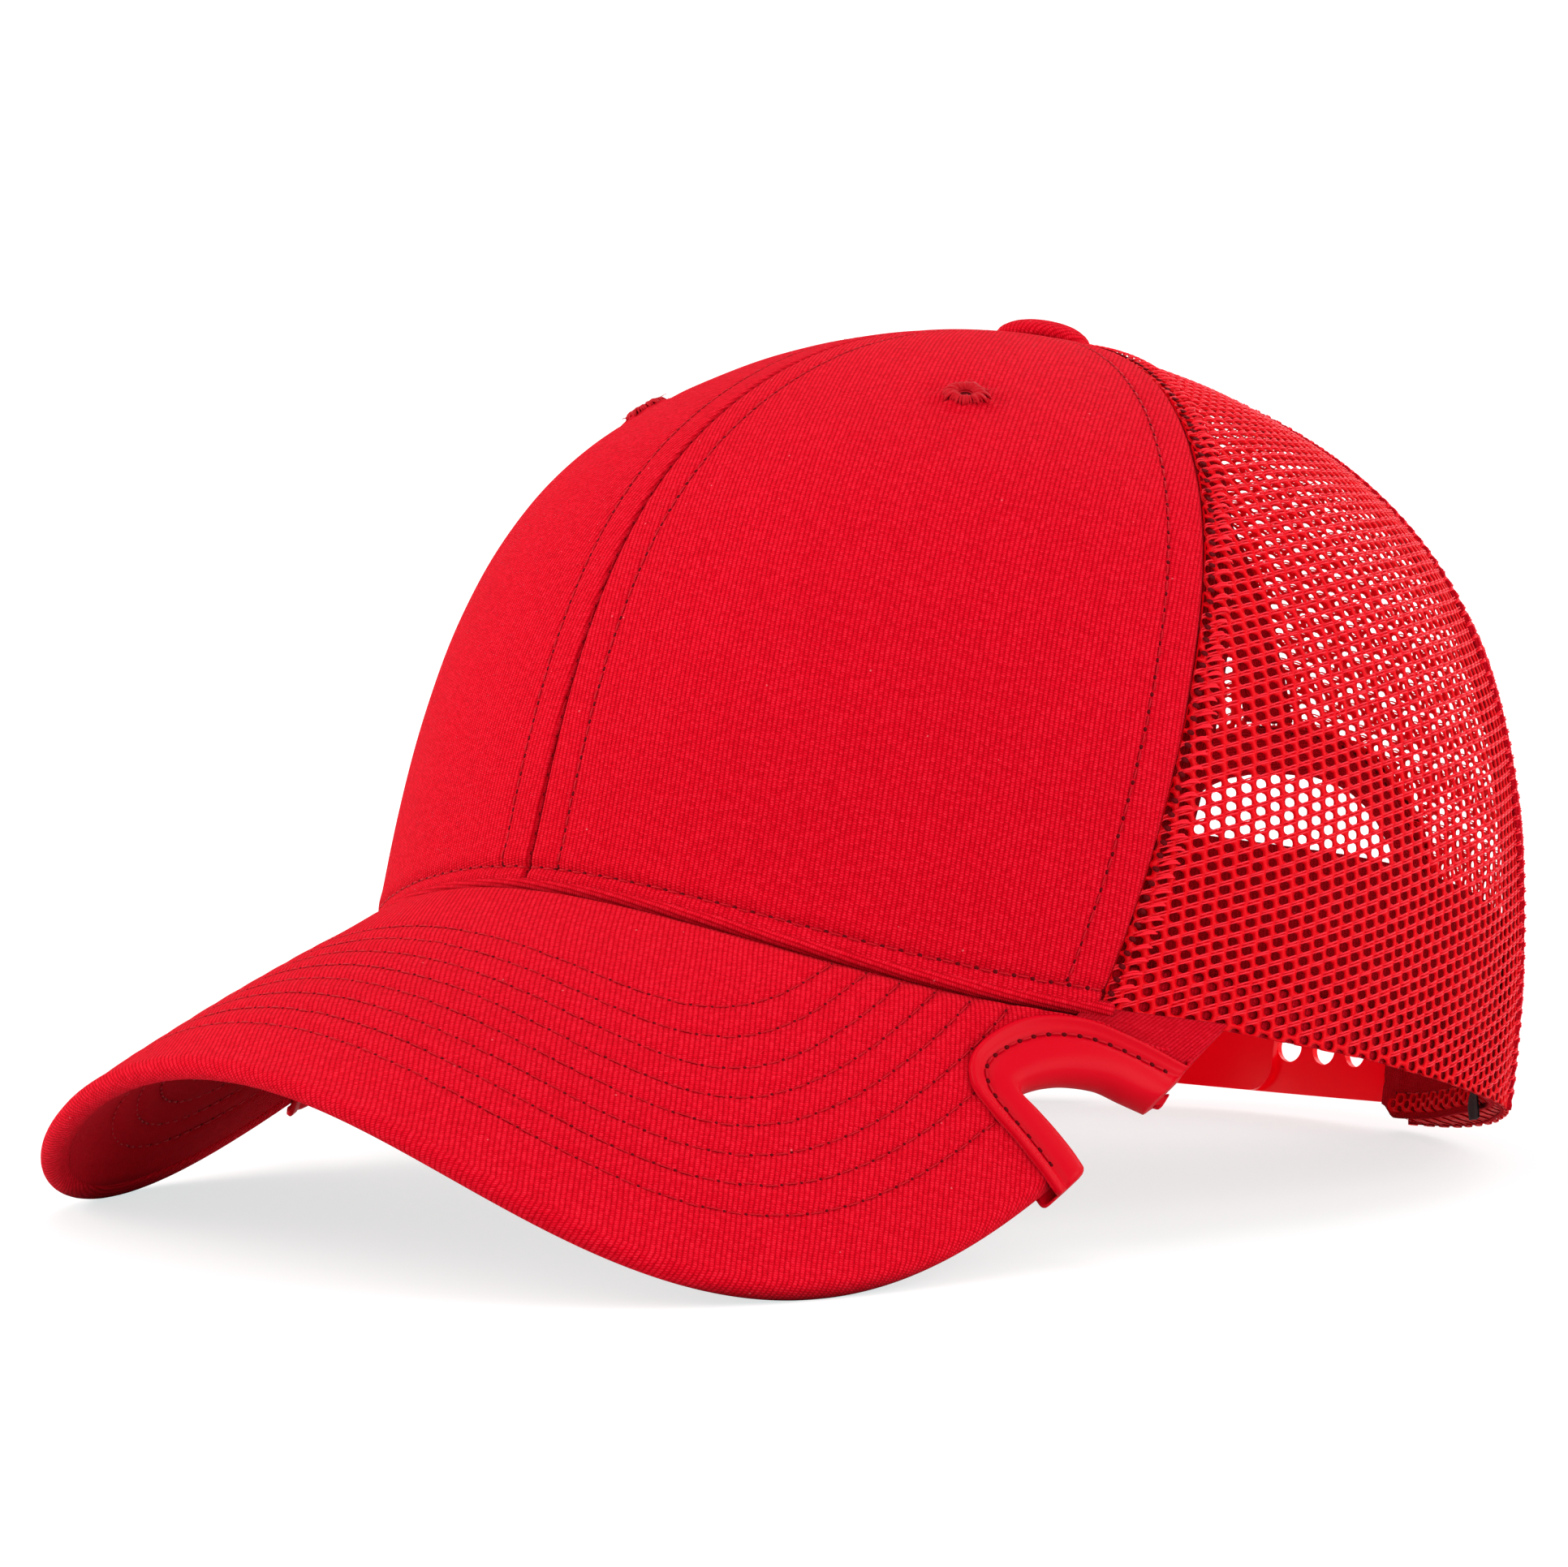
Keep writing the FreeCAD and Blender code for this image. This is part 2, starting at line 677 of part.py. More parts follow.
def notch_to_visor(along, outward, reach=0.4):
    """Visor (side, reach) over a notch-plane point, by limited Newton steps."""
    side = 0.8
    step = 1e-4
    for k in range(14):
        here = notch_coordinates(side, reach)
        side_step = step if side + step < 1 else -step
        sideways = notch_coordinates(side + side_step, reach)
        further = notch_coordinates(side, reach + step)
        along_by_side = (sideways[0] - here[0]) / side_step
        out_by_side = (sideways[1] - here[1]) / side_step
        along_by_reach = (further[0] - here[0]) / step
        out_by_reach = (further[1] - here[1]) / step
        along_miss, out_miss = along - here[0], outward - here[1]
        det = along_by_side * out_by_reach - along_by_reach * out_by_side
        side_move = (along_miss * out_by_reach - out_miss * along_by_reach) / det
        reach_move = (along_by_side * out_miss - out_by_side * along_miss) / det
        damping = min(1.0, 0.2 / max(abs(side_move), abs(reach_move), 1e-9))
        side = min(side + side_move * damping, 0.9995)
        reach += reach_move * damping
    return side, reach


def smooth_line(points):
    """Evenly spaced stations on a smooth curve through the scaled points."""
    scale = size["notch_size"]
    curve = Part.BSplineCurve()
    curve.interpolate([Vector(x * scale, y * scale, 0) for x, y in points])
    return [(point.x, point.y) for point in curve.toShape().discretize(NOTCH_STATIONS)]


def part_way(start, end, part):
    return start[0] + (end[0] - start[0]) * part, start[1] + (end[1] - start[1]) * part


def moved_towards(start, end, distance):
    return part_way(start, end, distance / math.hypot(end[0] - start[0], end[1] - start[1]))


trim_lines = list(zip(smooth_line(NOTCH_OPENING), smooth_line(TRIM_OUTLINE)))
cut_line = [moved_towards(start, end, NOTCH_CUT_BACK) for start, end in trim_lines]


# ---------------------------------------------------------------- visor outline
def cut_corners(points, rounds):
    """Chaikin smoothing; the end points stay."""
    for k in range(rounds):
        smoothed = [points[0]]
        for first, second in zip(points, points[1:]):
            for near, far in ((0.75, 0.25), (0.25, 0.75)):
                smoothed.append((first[0] * near + second[0] * far,
                                 first[1] * near + second[1] * far))
        smoothed.append(points[-1])
        points = smoothed
    return points


def left_outline():
    """(side, reach) from the nose round to the left end, notch included."""
    cut = [notch_to_visor(*point) for point in cut_line[::-4]]
    front_corner, rear_corner = cut[0][0], cut[-1][0]
    points = [(0.78 * k / 14, 1.0) for k in range(15)]
    points = [point for point in points if point[0] < front_corner - 0.03]
    points.append((front_corner - 0.012, 1.0))
    points += [point for point in cut if point[1] < 0.93]
    points += [(rear_corner + 0.008, 1.0), (min(rear_corner + 0.03, 0.985), 1.0), (1.0, 1.0)]
    return cut_corners(points, 3)


def outline_stations():
    """(side, reach, side of the matching root point), right end to left end."""
    line = left_outline()
    sides = [point[0] for point in line]
    reaches = [point[1] for point in line]
    run = [0.0]
    for first, second in zip(line, line[1:]):
        run.append(run[-1] + (visor(*second) - visor(*first)).Length)

    # Root points are spread so that the sheet's rows fan out round the notch.
    deepest = min(range(len(line)), key=lambda k: reaches[k])
    front = max(k for k in range(deepest) if reaches[k] > 0.985)
    rear = min(k for k in range(deepest, len(line)) if reaches[k] > 0.985)
    root_runs = [0.0, run[front], run[deepest], run[rear], run[-1]]
    root_sides = [0.0, 0.56, 0.73, 0.90, 1.0]

    # Coarse stations over the nose, about 1.5 mm apart from just before the notch.
    coarse_end = run[front] - 8.0
    distances = [coarse_end * k / 26 for k in range(27)]
    fine_count = int((run[-1] - coarse_end) / 1.5)
    distances += [coarse_end + (run[-1] - coarse_end) * (k + 1) / fine_count
                  for k in range(fine_count)]
    left = [(interpolate(distance, run, sides), interpolate(distance, run, reaches),
             interpolate(distance, root_runs, root_sides)) for distance in distances]
    right = [(-side, reach, -root_side) for side, reach, root_side in left[:0:-1]]
    return right + left


outline = outline_stations()


def outline_frame(k):
    """Point and outward direction at an outline station."""
    side, reach, root_side = outline[k]
    before, after = outline[max(k - 1, 0)], outline[min(k + 1, len(outline) - 1)]
    tangent = unit(visor(*after[:2]) - visor(*before[:2]))
    point, normal = visor_frame(side, reach)
    return point, unit(normal.cross(tangent) * -1)


def inset_station(k, inset):
    """(side, reach) of an outline station moved inwards along the surface."""
    side, reach, root_side = outline[k]
    point, outward = outline_frame(k)
    step = 1e-3
    side_step = -step if side > 0 else step
    by_side = (visor(side + side_step, reach) - point) * (1 / side_step)
    by_reach = (visor(side, reach + step) - point) * (1 / step)
    shift = outward * -inset
    side_side, side_reach = by_side.dot(by_side), by_side.dot(by_reach)
    reach_reach = by_reach.dot(by_reach)
    side_shift, reach_shift = by_side.dot(shift), by_reach.dot(shift)
    det = side_side * reach_reach - side_reach * side_reach
    side_move = (side_shift * reach_reach - reach_shift * side_reach) / det
    reach_move = (side_side * reach_shift - side_reach * side_shift) / det
    limit = 2.2 * inset / visor_length(side)
    side_move = clamp(side_move, -0.05, 0.05)
    reach_move = clamp(reach_move, -limit, limit)
    return clamp(side + side_move, -1.0, 1.0), clamp(reach + reach_move, 0.12, 1.0)


def visor_rows(root_inset, rim_inset):
    """For every station, (position, normal) pairs from the root to the rim."""
    points = 9
    rows = []
    for k, (side, reach, root_side) in enumerate(outline):
        end_side, end_reach = inset_station(k, rim_inset)
        root_side *= 1 - 0.3 / visor_length(1.0) * abs(root_side)
        root_reach = root_inset / visor_length(root_side)
        row = []
        for j in range(points):
            part = j / (points - 1)
            row.append(visor_frame(root_side + (end_side - root_side) * part,
                                   root_reach + (end_reach - root_reach) * part))
        rows.append(row)
    return rows


# ---------------------------------------------------------------- visor layers
COVER_GAP = 0.2             # board to cover
TRIM_CLEAR = 0.35           # cover to trim
half_board = size["board_thick"] / 2
cover_inside = half_board + COVER_GAP
cover_outside = cover_inside + size["cover_thick"]
root_gap = size["visor_root_gap"]


def layer(rows, outer_offset, inner_offset):
    """Solid between two offsets of (point, direction) rows."""
    outer, inner = [[[world(point + direction * offset) for point, direction in row]
                     for row in rows] for offset in (outer_offset, inner_offset)]
    return thin_solid(outer, inner)


def bend(point, outward, normal, first_angle):
    """(point, direction) pairs turning from the upper side round to the lower."""
    return [(point, outward * math.sin(radians(angle)) + normal * math.cos(radians(angle)))
            for angle in range(first_angle, 181, 30)]


def top_cover():
    """Upper cover, wrapped round the rim and turned in underneath."""
    turn_in = 0.5
    rows = []
    for k, row in enumerate(visor_rows(root_gap, cover_outside)):
        point, normal = row[-1]
        outward = square_to(normal, outline_frame(k)[1])
        rows.append(row + bend(point, outward, normal, 30)
                    + [(point - outward * turn_in, normal * -1)])
    return layer(rows, cover_outside, cover_inside)


def notch_trim():
    """Channel that grips all three visor layers round the left notch."""
    trim_inside = cover_outside + TRIM_CLEAR
    trim_outside = trim_inside + size["trim_thick"]
    start_reach = 0.5
    rows = []
    for start, end in trim_lines:
        leg = [visor_frame(*notch_to_visor(*part_way(start, end, part), start_reach))
               for part in (1.0, 0.8, 0.6)]
        center = moved_towards(start, end, trim_outside)
        point, normal = visor_frame(*notch_to_visor(*center, start_reach))
        outward = square_to(normal, NOTCH_ALONG * (start[0] - end[0])
                            + NOTCH_OUT * (start[1] - end[1]))
        lower_leg = [(position, up * -1) for position, up in leg[::-1]]
        rows.append(leg + bend(point, outward, normal, 0) + lower_leg)
    return layer(rows, trim_outside, trim_inside)


add_shape("visor_board", layer(visor_rows(root_gap + 0.8, cover_outside + 1.5),
                               half_board, -half_board))
add_shape("visor_under_cover", layer(visor_rows(root_gap, cover_outside + 3.0),
                                     -cover_inside, -cover_outside))
add_shape("visor_top_cover", top_cover())
add_pair("notch_trim", notch_trim())


# ---------------------------------------------------------------- bodies
# Sketch lengths are texts such as "{button_radius}*0.97 - 0.3": sums of
# products, with sheet aliases in braces.
def value_of(text):
    terms = text.format(**size).replace(" ", "").replace("-", "+-").split("+")
    return sum(math.prod(float(factor) for factor in term.split("*"))
               for term in terms if term)


def constrain(sketch, constraint, text):
    """Add a dimension and bind it to the sheet."""
    index = sketch.addConstraint(constraint)
    sketch.setExpression("Constraints[%d]" % index, text.format(**sheet_cells))


def origin_feature(body, role):
    return next(item for item in body.Origin.OriginFeatures if item.Role == role)


def flat_sketch(body, name, role):
    sketch = body.newObject("Sketcher::SketchObject", name)
    sketch.AttachmentSupport = [(origin_feature(body, role), "")]
    sketch.MapMode = "FlatFace"
    return sketch


def polygon_sketch(body, name, role, points):
    """Closed polygon through (x text, y text) points."""
    sketch = flat_sketch(body, name, role)
    count = len(points)
    corners = [Vector(value_of(x), value_of(y), 0) for x, y in points]
    for i in range(count):
        sketch.addGeometry(Part.LineSegment(corners[i], corners[(i + 1) % count]), False)
    for i in range(count):
        sketch.addConstraint(Sketcher.Constraint("Coincident", i, 2, (i + 1) % count, 1))
    vertical_axis, horizontal_axis = -2, -1
    for i, (x, y) in enumerate(points):
        for kind, text, value, axis in (("DistanceX", x, corners[i].x, vertical_axis),
                                        ("DistanceY", y, corners[i].y, horizontal_axis)):
            if abs(value) < 1e-9:
                sketch.addConstraint(Sketcher.Constraint("PointOnObject", i, 1, axis))
            else:
                constrain(sketch, Sketcher.Constraint(kind, -1, 1, i, 1, value), text)
    return sketch


def full_turn(body, kind, name, sketch, axis):
    """Revolution or Groove of a sketch about one of its own axes."""
    turned = body.newObject("PartDesign::" + kind, name)
    turned.Profile = sketch
    turned.ReferenceAxis = (sketch, [axis])
    turned.Angle = 360.0
    sketch.Visibility = False
    body.Tip = turned
    return turned


def turned_body(name, points, placement):
    """Body turned about its z axis from (radius, z) points."""
    body = add_piece("PartDesign::Body", name)
    sketch = polygon_sketch(body, name + "_profile", "XZ_Plane", points)
    full_turn(body, "Revolution", name + "_turn", sketch, "V_Axis")
    body.Placement = placement


pole_frame = CAP_FRAME.multiply(Placement(Vector(0, 0, crown(0, 1.0).z), Rotation()))

turned_body("top_button", [
    ("0", "0.25"),
    ("{rivet_radius}*3.0", "0.15"),
    ("{button_radius}*0.97", "-0.05"),
    ("{button_radius}", "0.1"),
    ("{button_radius}", "{button_height}*0.28"),
    ("{button_radius}*0.93", "{button_height}*0.52"),
    ("{button_radius}*0.8", "{button_height}*0.72"),
    ("{button_radius}*0.6", "{button_height}*0.88"),
    ("{button_radius}*0.32", "{button_height}*0.98"),
    ("0", "{button_height}")], pole_frame)

turned_body("button_rivet", [
    ("0", "0.2"),
    ("{rivet_radius}", "0.1"),
    ("{rivet_radius}", "-{rivet_depth}"),
    ("{rivet_flange_radius}", "-{rivet_depth} - 0.3"),
    ("{rivet_flange_radius}", "-{rivet_depth} - {rivet_flange_thick}"),
    ("0", "-{rivet_depth} - {rivet_flange_thick}")], pole_frame)

for sign, name in ((1, "eyelet_left"), (-1, "eyelet_right")):
    turned_body(name, [
        ("{eyelet_bore}", "-1.9"),
        ("{eyelet_body}", "-1.9"),
        ("{eyelet_body}", "0.25"),
        ("{eyelet_rim}", "0.2"),
        ("{eyelet_rim}", "0.6"),
        ("{eyelet_body}", "0.95"),
        ("{eyelet_bore}*1.5", "0.95"),
        ("{eyelet_bore}", "0.5")], eyelet_frame(sign))

# ---------------------------------------------------------------- snap strap
# Angles about the strap axis run from +Y towards -X, the wearer's right.
# The hole strap comes from the left and lies outside the peg strap.
strap_frame = CAP_FRAME.multiply(Placement(
    Vector(0, size["strap_axis_back"], size["strap_low"] + size["strap_height"] / 2),
    Rotation(Vector(1, 0, 0), size["strap_lean"])))
HOLE_FACE = "{strap_radius}"
PEG_FACE = "{strap_radius} - {strap_thick} - {strap_gap}"
FIRST_PEG_HOLE = 3          # holes before the one that takes the first peg


def arc_band(name, face, start, end, turn=0.0):
    """Curved strip with this outer radius; its body frame is turned by turn."""
    body = add_piece("PartDesign::Body", name)
    body.Placement = strap_frame.multiply(
        Placement(Vector(0, 0, 0), Rotation(Vector(0, 0, 1), turn)))
    sketch = flat_sketch(body, name + "_plan", "XY_Plane")
    outer_radius = value_of(face)
    inner_radius = outer_radius - size["strap_thick"]
    first, last = radians(90 + start - turn), radians(90 + end - turn)

    def at(radius, angle):
        return Vector(radius * math.cos(angle), radius * math.sin(angle), 0)

    def arc(radius):
        circle = Part.Circle(Vector(0, 0, 0), Vector(0, 0, 1), radius)
        return Part.ArcOfCircle(circle, first, last)

    for geometry in (
            arc(outer_radius),
            Part.LineSegment(at(outer_radius, last), at(inner_radius, last)),
            arc(inner_radius),
            Part.LineSegment(at(inner_radius, first), at(outer_radius, first))):
        sketch.addGeometry(geometry, False)
    # Both arc centres on the origin, then the four corners.
    sketch.addConstraint([Sketcher.Constraint("Coincident", *ends) for ends in (
        (0, 3, -1, 1), (2, 3, -1, 1),
        (0, 2, 1, 1), (1, 2, 2, 2), (2, 1, 3, 1), (3, 2, 0, 1))])
    constrain(sketch, Sketcher.Constraint("Radius", 0, outer_radius), face)
    constrain(sketch, Sketcher.Constraint("Radius", 2, inner_radius), face + " - {strap_thick}")
    pad = body.newObject("PartDesign::Pad", name + "_pad")
    pad.Profile = sketch
    pad.Midplane = True
    pad.setExpression("Length", "Sizes.strap_height")
    sketch.Visibility = False
    body.Tip = pad
    return body, pad


def round_tip(body, pad, name, angle):
    """Round the strap's free end: the two short edges across its thickness."""
    doc.recompute()
    edge_names = []
    for i, edge in enumerate(pad.Shape.Edges, 1):
        if abs(edge.Length - size["strap_thick"]) < 0.02 and len(edge.Vertexes) == 2:
            middle = (edge.Vertexes[0].Point + edge.Vertexes[1].Point) * 0.5
            if abs(math.atan2(middle.y, middle.x) - radians(90 + angle)) < 0.004:
                edge_names.append("Edge%d" % i)
    fillet = body.newObject("PartDesign::Fillet", name)
    fillet.Base = (pad, edge_names)
    fillet.setExpression("Radius", "Sizes.strap_tip_radius")
    body.Tip = fillet


def snap_strap(kind, face, start, end, tip, first, section, turn_kind, turn_name):
    """Strap with a row of holes or pegs, the first at angle first.

    section is half a hole or peg, turned about the body's Y axis.
    """
    body, pad = arc_band(kind + "_strap", face, start, end, first)
    round_tip(body, pad, kind + "_strap_tip", tip - first)
    sketch = polygon_sketch(body, kind + "_section", "YZ_Plane", section)
    turned = full_turn(body, turn_kind, turn_name, sketch, "H_Axis")
    doc.recompute()
    count = kind + "_count"
    row = body.newObject("PartDesign::PolarPattern", kind + "_row")
    row.Originals = [turned]
    row.Axis = (origin_feature(body, "Z_Axis"), [""])
    row.Angle = size["strap_pitch"] * (size[count] - 1)
    row.setExpression("Angle", "Sizes.strap_pitch * (Sizes.%s - 1)" % count)
    row.Occurrences = int(size[count])
    row.setExpression("Occurrences", "Sizes." + count)
    body.Tip = row


hinge = size["strap_hinge_angle"]
hinge_gap = math.degrees(size["strap_hinge_gap"] / size["strap_radius"])
sewn_start = hinge + math.degrees(size["tab_gap"] / size["strap_radius"])
sewn_end = sewn_start + size["tab_span"]
first_hole = size["strap_first_hole"]

snap_strap(
    "hole", HOLE_FACE, start=-hinge + hinge_gap, end=size["hole_strap_tip"],
    tip=size["hole_strap_tip"], first=first_hole,
    section=[
        (HOLE_FACE + " - 3.2", "0"),
        (HOLE_FACE + " + 2", "0"),
        (HOLE_FACE + " + 2", "{strap_hole_radius}"),
        (HOLE_FACE + " - 3.2", "{strap_hole_radius}")],
    turn_kind="Groove", turn_name="hole_cut")

snap_strap(
    "peg", PEG_FACE, start=-size["peg_strap_tip"], end=hinge - hinge_gap,
    tip=-size["peg_strap_tip"], first=first_hole + FIRST_PEG_HOLE * size["strap_pitch"],
    section=[
        (PEG_FACE + " - 0.5", "0"),
        (PEG_FACE + " + {peg_height}", "0"),
        (PEG_FACE + " + {peg_height}", "{peg_radius}*0.6"),
        (PEG_FACE + " + {peg_height}*0.7", "{peg_radius}"),
        (PEG_FACE + " - 0.5", "{peg_radius}")],
    turn_kind="Revolution", turn_name="peg_turn")

arc_band("hole_strap_sewn_end", HOLE_FACE, -sewn_end, -sewn_start)
arc_band("peg_strap_sewn_end", PEG_FACE, sewn_start, sewn_end)

# ---------------------------------------------------------------- size tag
TAG_LIFT = 4.5              # height above the hem where the tag's centre is set
TAG_CLEAR = 0.75            # tag face inside the sweatband


def tag_point(angle):
    rise = rise_at_height(angle, crown(angle, 0).z + TAG_LIFT)
    return below_crown(angle, rise, band_depth(angle) + size["band_thick"] + TAG_CLEAR)


def size_tag():
    """Blank tag lying flat against the inside of the sweatband."""
    center = tag_point(size["tag_angle"])
    along = tag_point(size["tag_angle"] + 2.0) - tag_point(size["tag_angle"] - 2.0)
    along = unit(Vector(along.x, along.y, 0))
    # The box grows in thickness along z cross along, which must point inwards.
    if Vector(0, 0, 1).cross(along).dot(Vector(center.x, center.y, 0)) > 0:
        along = along * -1
    tag = add_piece("Part::Box", "size_tag")
    tag.setExpression("Length", "Sizes.tag_depth")
    tag.setExpression("Width", "Sizes.tag_thick")
    tag.setExpression("Height", "Sizes.tag_height")
    corner = center - along * (size["tag_depth"] / 2) - Vector(0, 0, size["tag_height"] / 2)
    tag.Placement = CAP_FRAME.multiply(Placement(corner, Rotation(Vector(1, 0, 0), along)))


size_tag()

# ---------------------------------------------------------------- output
doc.recompute()
for item in doc.Objects:
    if "Invalid" in item.State or "Error" in item.State:
        raise RuntimeError("bad state: " + item.Name + " " + str(item.State))
for piece in pieces:
    if piece.Shape.isNull() or not piece.Shape.isValid() or piece.Shape.Volume <= 0:
        raise RuntimeError("bad shape: " + piece.Label)
for piece in pieces:
    piece.Shape.exportStep("parts/" + piece.Label + ".step")
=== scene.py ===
# A baseball cap: twill front panels, net side and rear panels, a curved visor with a rubber
# trimmed notch at each temple, and a rear opening spanned by two plastic straps.
# +Z is up and the visor points to -Y, so the wearer's left is +X. The crown is modelled upright
# in its own frame, then tipped so that its front rises. Lengths are mm unless a name says more.
import math

import bpy
import numpy as np
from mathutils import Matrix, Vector
from mathutils.kdtree import KDTree


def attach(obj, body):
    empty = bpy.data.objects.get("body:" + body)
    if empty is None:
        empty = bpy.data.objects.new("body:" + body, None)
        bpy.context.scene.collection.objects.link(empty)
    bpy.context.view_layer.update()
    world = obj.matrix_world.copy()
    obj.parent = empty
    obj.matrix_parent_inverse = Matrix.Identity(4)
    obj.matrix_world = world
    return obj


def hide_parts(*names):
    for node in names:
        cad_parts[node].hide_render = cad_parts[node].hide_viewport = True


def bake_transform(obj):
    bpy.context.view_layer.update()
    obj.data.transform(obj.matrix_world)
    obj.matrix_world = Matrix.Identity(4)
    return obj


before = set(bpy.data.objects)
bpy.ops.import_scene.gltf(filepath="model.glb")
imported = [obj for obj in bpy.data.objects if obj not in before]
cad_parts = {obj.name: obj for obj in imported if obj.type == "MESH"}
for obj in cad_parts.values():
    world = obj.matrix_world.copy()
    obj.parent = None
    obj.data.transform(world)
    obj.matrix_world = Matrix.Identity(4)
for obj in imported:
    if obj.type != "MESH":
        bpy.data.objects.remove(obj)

ROOT = "crown"
# name ending and sign of x; the geometry is drawn for +X and mirrored
SIDES = (("_left", 1), ("_right", -1))
MIDDLE = (("", 1),)

# ============================================================ cap form
CROWN_HEIGHT = 119.15
PROFILE_FOOT = -14.0    # height at which the wall profiles start
# hem radius, two powers of the wall profile, bulge low on the wall
FRONT_PROFILE = (101.30, 3.138, 1.522, -0.0395)
REAR_PROFILE = (100.15, 2.324, 2.140, -0.0121)
SIDE_PROFILE = (88.30, 4.823, 1.354, 0.0492)
FRONT_PLAN_POWER, REAR_PLAN_POWER = 1.926, 2.119
HEM_WAVES = ((2, -0.09), (3, 1.59), (4, 1.77))    # waves round the hem, their height
TOP_DROP = 2.76                                   # flattening of the very top
TIP = math.radians(13.61)
LIFT = 23.41
LEVEL_POWER = 1.9       # crowds panel rows towards the top

BAND_HEIGHT = 28.0
NET_MID = 0.5           # depth of the net's middle below the outer surface
ARCH_HALF_WIDTH, ARCH_HEIGHT, ARCH_POWER = 34.0, 62.0, 2.8


def signed_power(base, power):
    return np.sign(base) * np.abs(base) ** power


def unit(vectors):
    return vectors / np.maximum(np.linalg.norm(vectors, axis=-1, keepdims=True), 1e-12)


def dot(first, second):
    return np.sum(first * second, -1)


def smooth(start, end, x):
    """0 at start, 1 at end, eased."""
    part = np.clip((x - start) / (end - start), 0.0, 1.0)
    return part * part * (3 - 2 * part)


def bell(x, width):
    return np.exp(-(x / width) ** 2)


def bisect(before, low, high, rounds=34):
    """Close in on the place where before() stops being true."""
    for k in range(rounds):
        middle = (low + high) / 2
        still = before(middle)
        low, high = np.where(still, middle, low), np.where(still, high, middle)
    return low


def noise(points, scale, seed):
    """Smooth deterministic noise, a few sine waves, about -1 to 1."""
    draw = np.random.default_rng(seed)
    total = 0.0
    for k in range(7):
        wave = unit(draw.normal(size=3)) * (2 * np.pi / scale) * draw.uniform(0.6, 1.5)
        total = total + np.sin(points @ wave + draw.uniform(0, 6.28))
    return total / 4.2


def crown(phi, rise):
    """Outer surface, cap frame. phi: degrees from the visor; rise: 0 at the hem, 1 at the top."""
    phi = np.radians(np.asarray(phi, float))
    rise = np.asarray(rise, float)
    hem = sum(size * np.cos(waves * phi) for waves, size in HEM_WAVES)
    height = hem + (CROWN_HEIGHT - hem) * rise
    span = CROWN_HEIGHT - PROFILE_FOOT
    part = np.clip((height - PROFILE_FOOT) / span, 0, 1)
    hem_part = -PROFILE_FOOT / span
    bump = 8 * part * (1 - part) * (0.5 - part)

    def reach(radius, power, root, bulge):
        wall = (1 - part ** power) ** (1 / root) / (1 - hem_part ** power) ** (1 / root)
        return radius * wall * (1 + bulge * bump)

    cos, sin = np.cos(phi), np.sin(phi)
    rearness = 0.5 - 0.5 * np.sin(np.clip(cos * 2.2, -1, 1) * np.pi / 2)
    power = 2 / (FRONT_PLAN_POWER + (REAR_PLAN_POWER - FRONT_PLAN_POWER) * rearness)
    x = reach(*SIDE_PROFILE) * signed_power(sin, power)
    y = -np.where(cos > 0, reach(*FRONT_PROFILE), reach(*REAR_PROFILE)) * signed_power(cos, power)
    return np.stack([x, y, height - TOP_DROP * np.clip(rise, 0, 1) ** 7 + 0 * x], -1)


def crown_normal(phi, rise):
    phi, rise = np.broadcast_arrays(np.asarray(phi, float), np.asarray(rise, float))
    below, above = np.maximum(rise - 2e-4, -0.02), np.minimum(rise + 2e-4, 0.9999)
    normals = unit(np.cross(crown(phi + 0.15, rise) - crown(phi - 0.15, rise),
                            crown(phi, above) - crown(phi, below)))
    inward = dot(normals, crown(phi, rise) - np.array([0, 0, 30.0])) < 0
    normals[inward] *= -1
    return normals


def tip(vectors):
    """Turn vectors from the cap frame to the world."""
    y, z = vectors[..., 1], vectors[..., 2]
    cos, sin = math.cos(TIP), math.sin(TIP)
    return np.stack([vectors[..., 0], y * cos + z * sin, -y * sin + z * cos], -1)


def to_world(points):
    return tip(points) + np.array([0, 0, LIFT])


def on_crown(phi, rise, depth):
    """World point at this depth below the outer surface, and the outward normal there."""
    points, normals = crown(phi, rise), crown_normal(phi, rise)
    depth = np.asarray(depth, float)
    return to_world(points - normals * depth[..., None]), tip(normals)


def degree_mm(phi, rise):
    """Length of one degree of phi."""
    return np.linalg.norm(crown(phi + 0.3, rise) - crown(phi - 0.3, rise), axis=-1) / 0.6


def rise_at_radius(phi, radius):
    phi = np.asarray(phi, float)

    def wider(rise):
        place = crown(phi, rise)
        return np.hypot(place[..., 0], place[..., 1]) > radius

    return bisect(wider, np.full(phi.shape, 0.5), np.ones(phi.shape))


def rise_at_height(phi, z):
    phi, z = np.broadcast_arrays(np.asarray(phi, float), np.asarray(z, float))
    return bisect(lambda rise: crown(phi, rise)[..., 2] < z,
                  np.full(phi.shape, -0.05), np.full(phi.shape, 0.9))


def rise_above_hem(phi, height):
    return rise_at_height(phi, crown(phi, 0 * phi)[..., 2] + height)


# seams between the panels: phi at each rise
def front_seam(rise):
    return 56.05 + 15.53 * rise - 10.93 * rise * rise


def rear_seam(rise):
    return 120.0 - 14.0 * rise


def front_centre(rise):
    return 0.0 * rise


def rear_centre(rise):
    return 180.0 + 0.0 * rise


def band_depth(phi):
    """Depth of the sweatband's outer face, greater towards the rear."""
    return 2.4 + 4.4 * smooth(118, 142, np.abs(phi))


# ============================================================ point helpers
def to_side(side, points):
    return points * np.array([side, 1.0, 1.0])


def arc_length(points, axis=0):
    step = np.linalg.norm(np.diff(points, axis=axis), axis=-1)
    return np.insert(np.cumsum(step, axis), 0, 0.0, axis=axis)


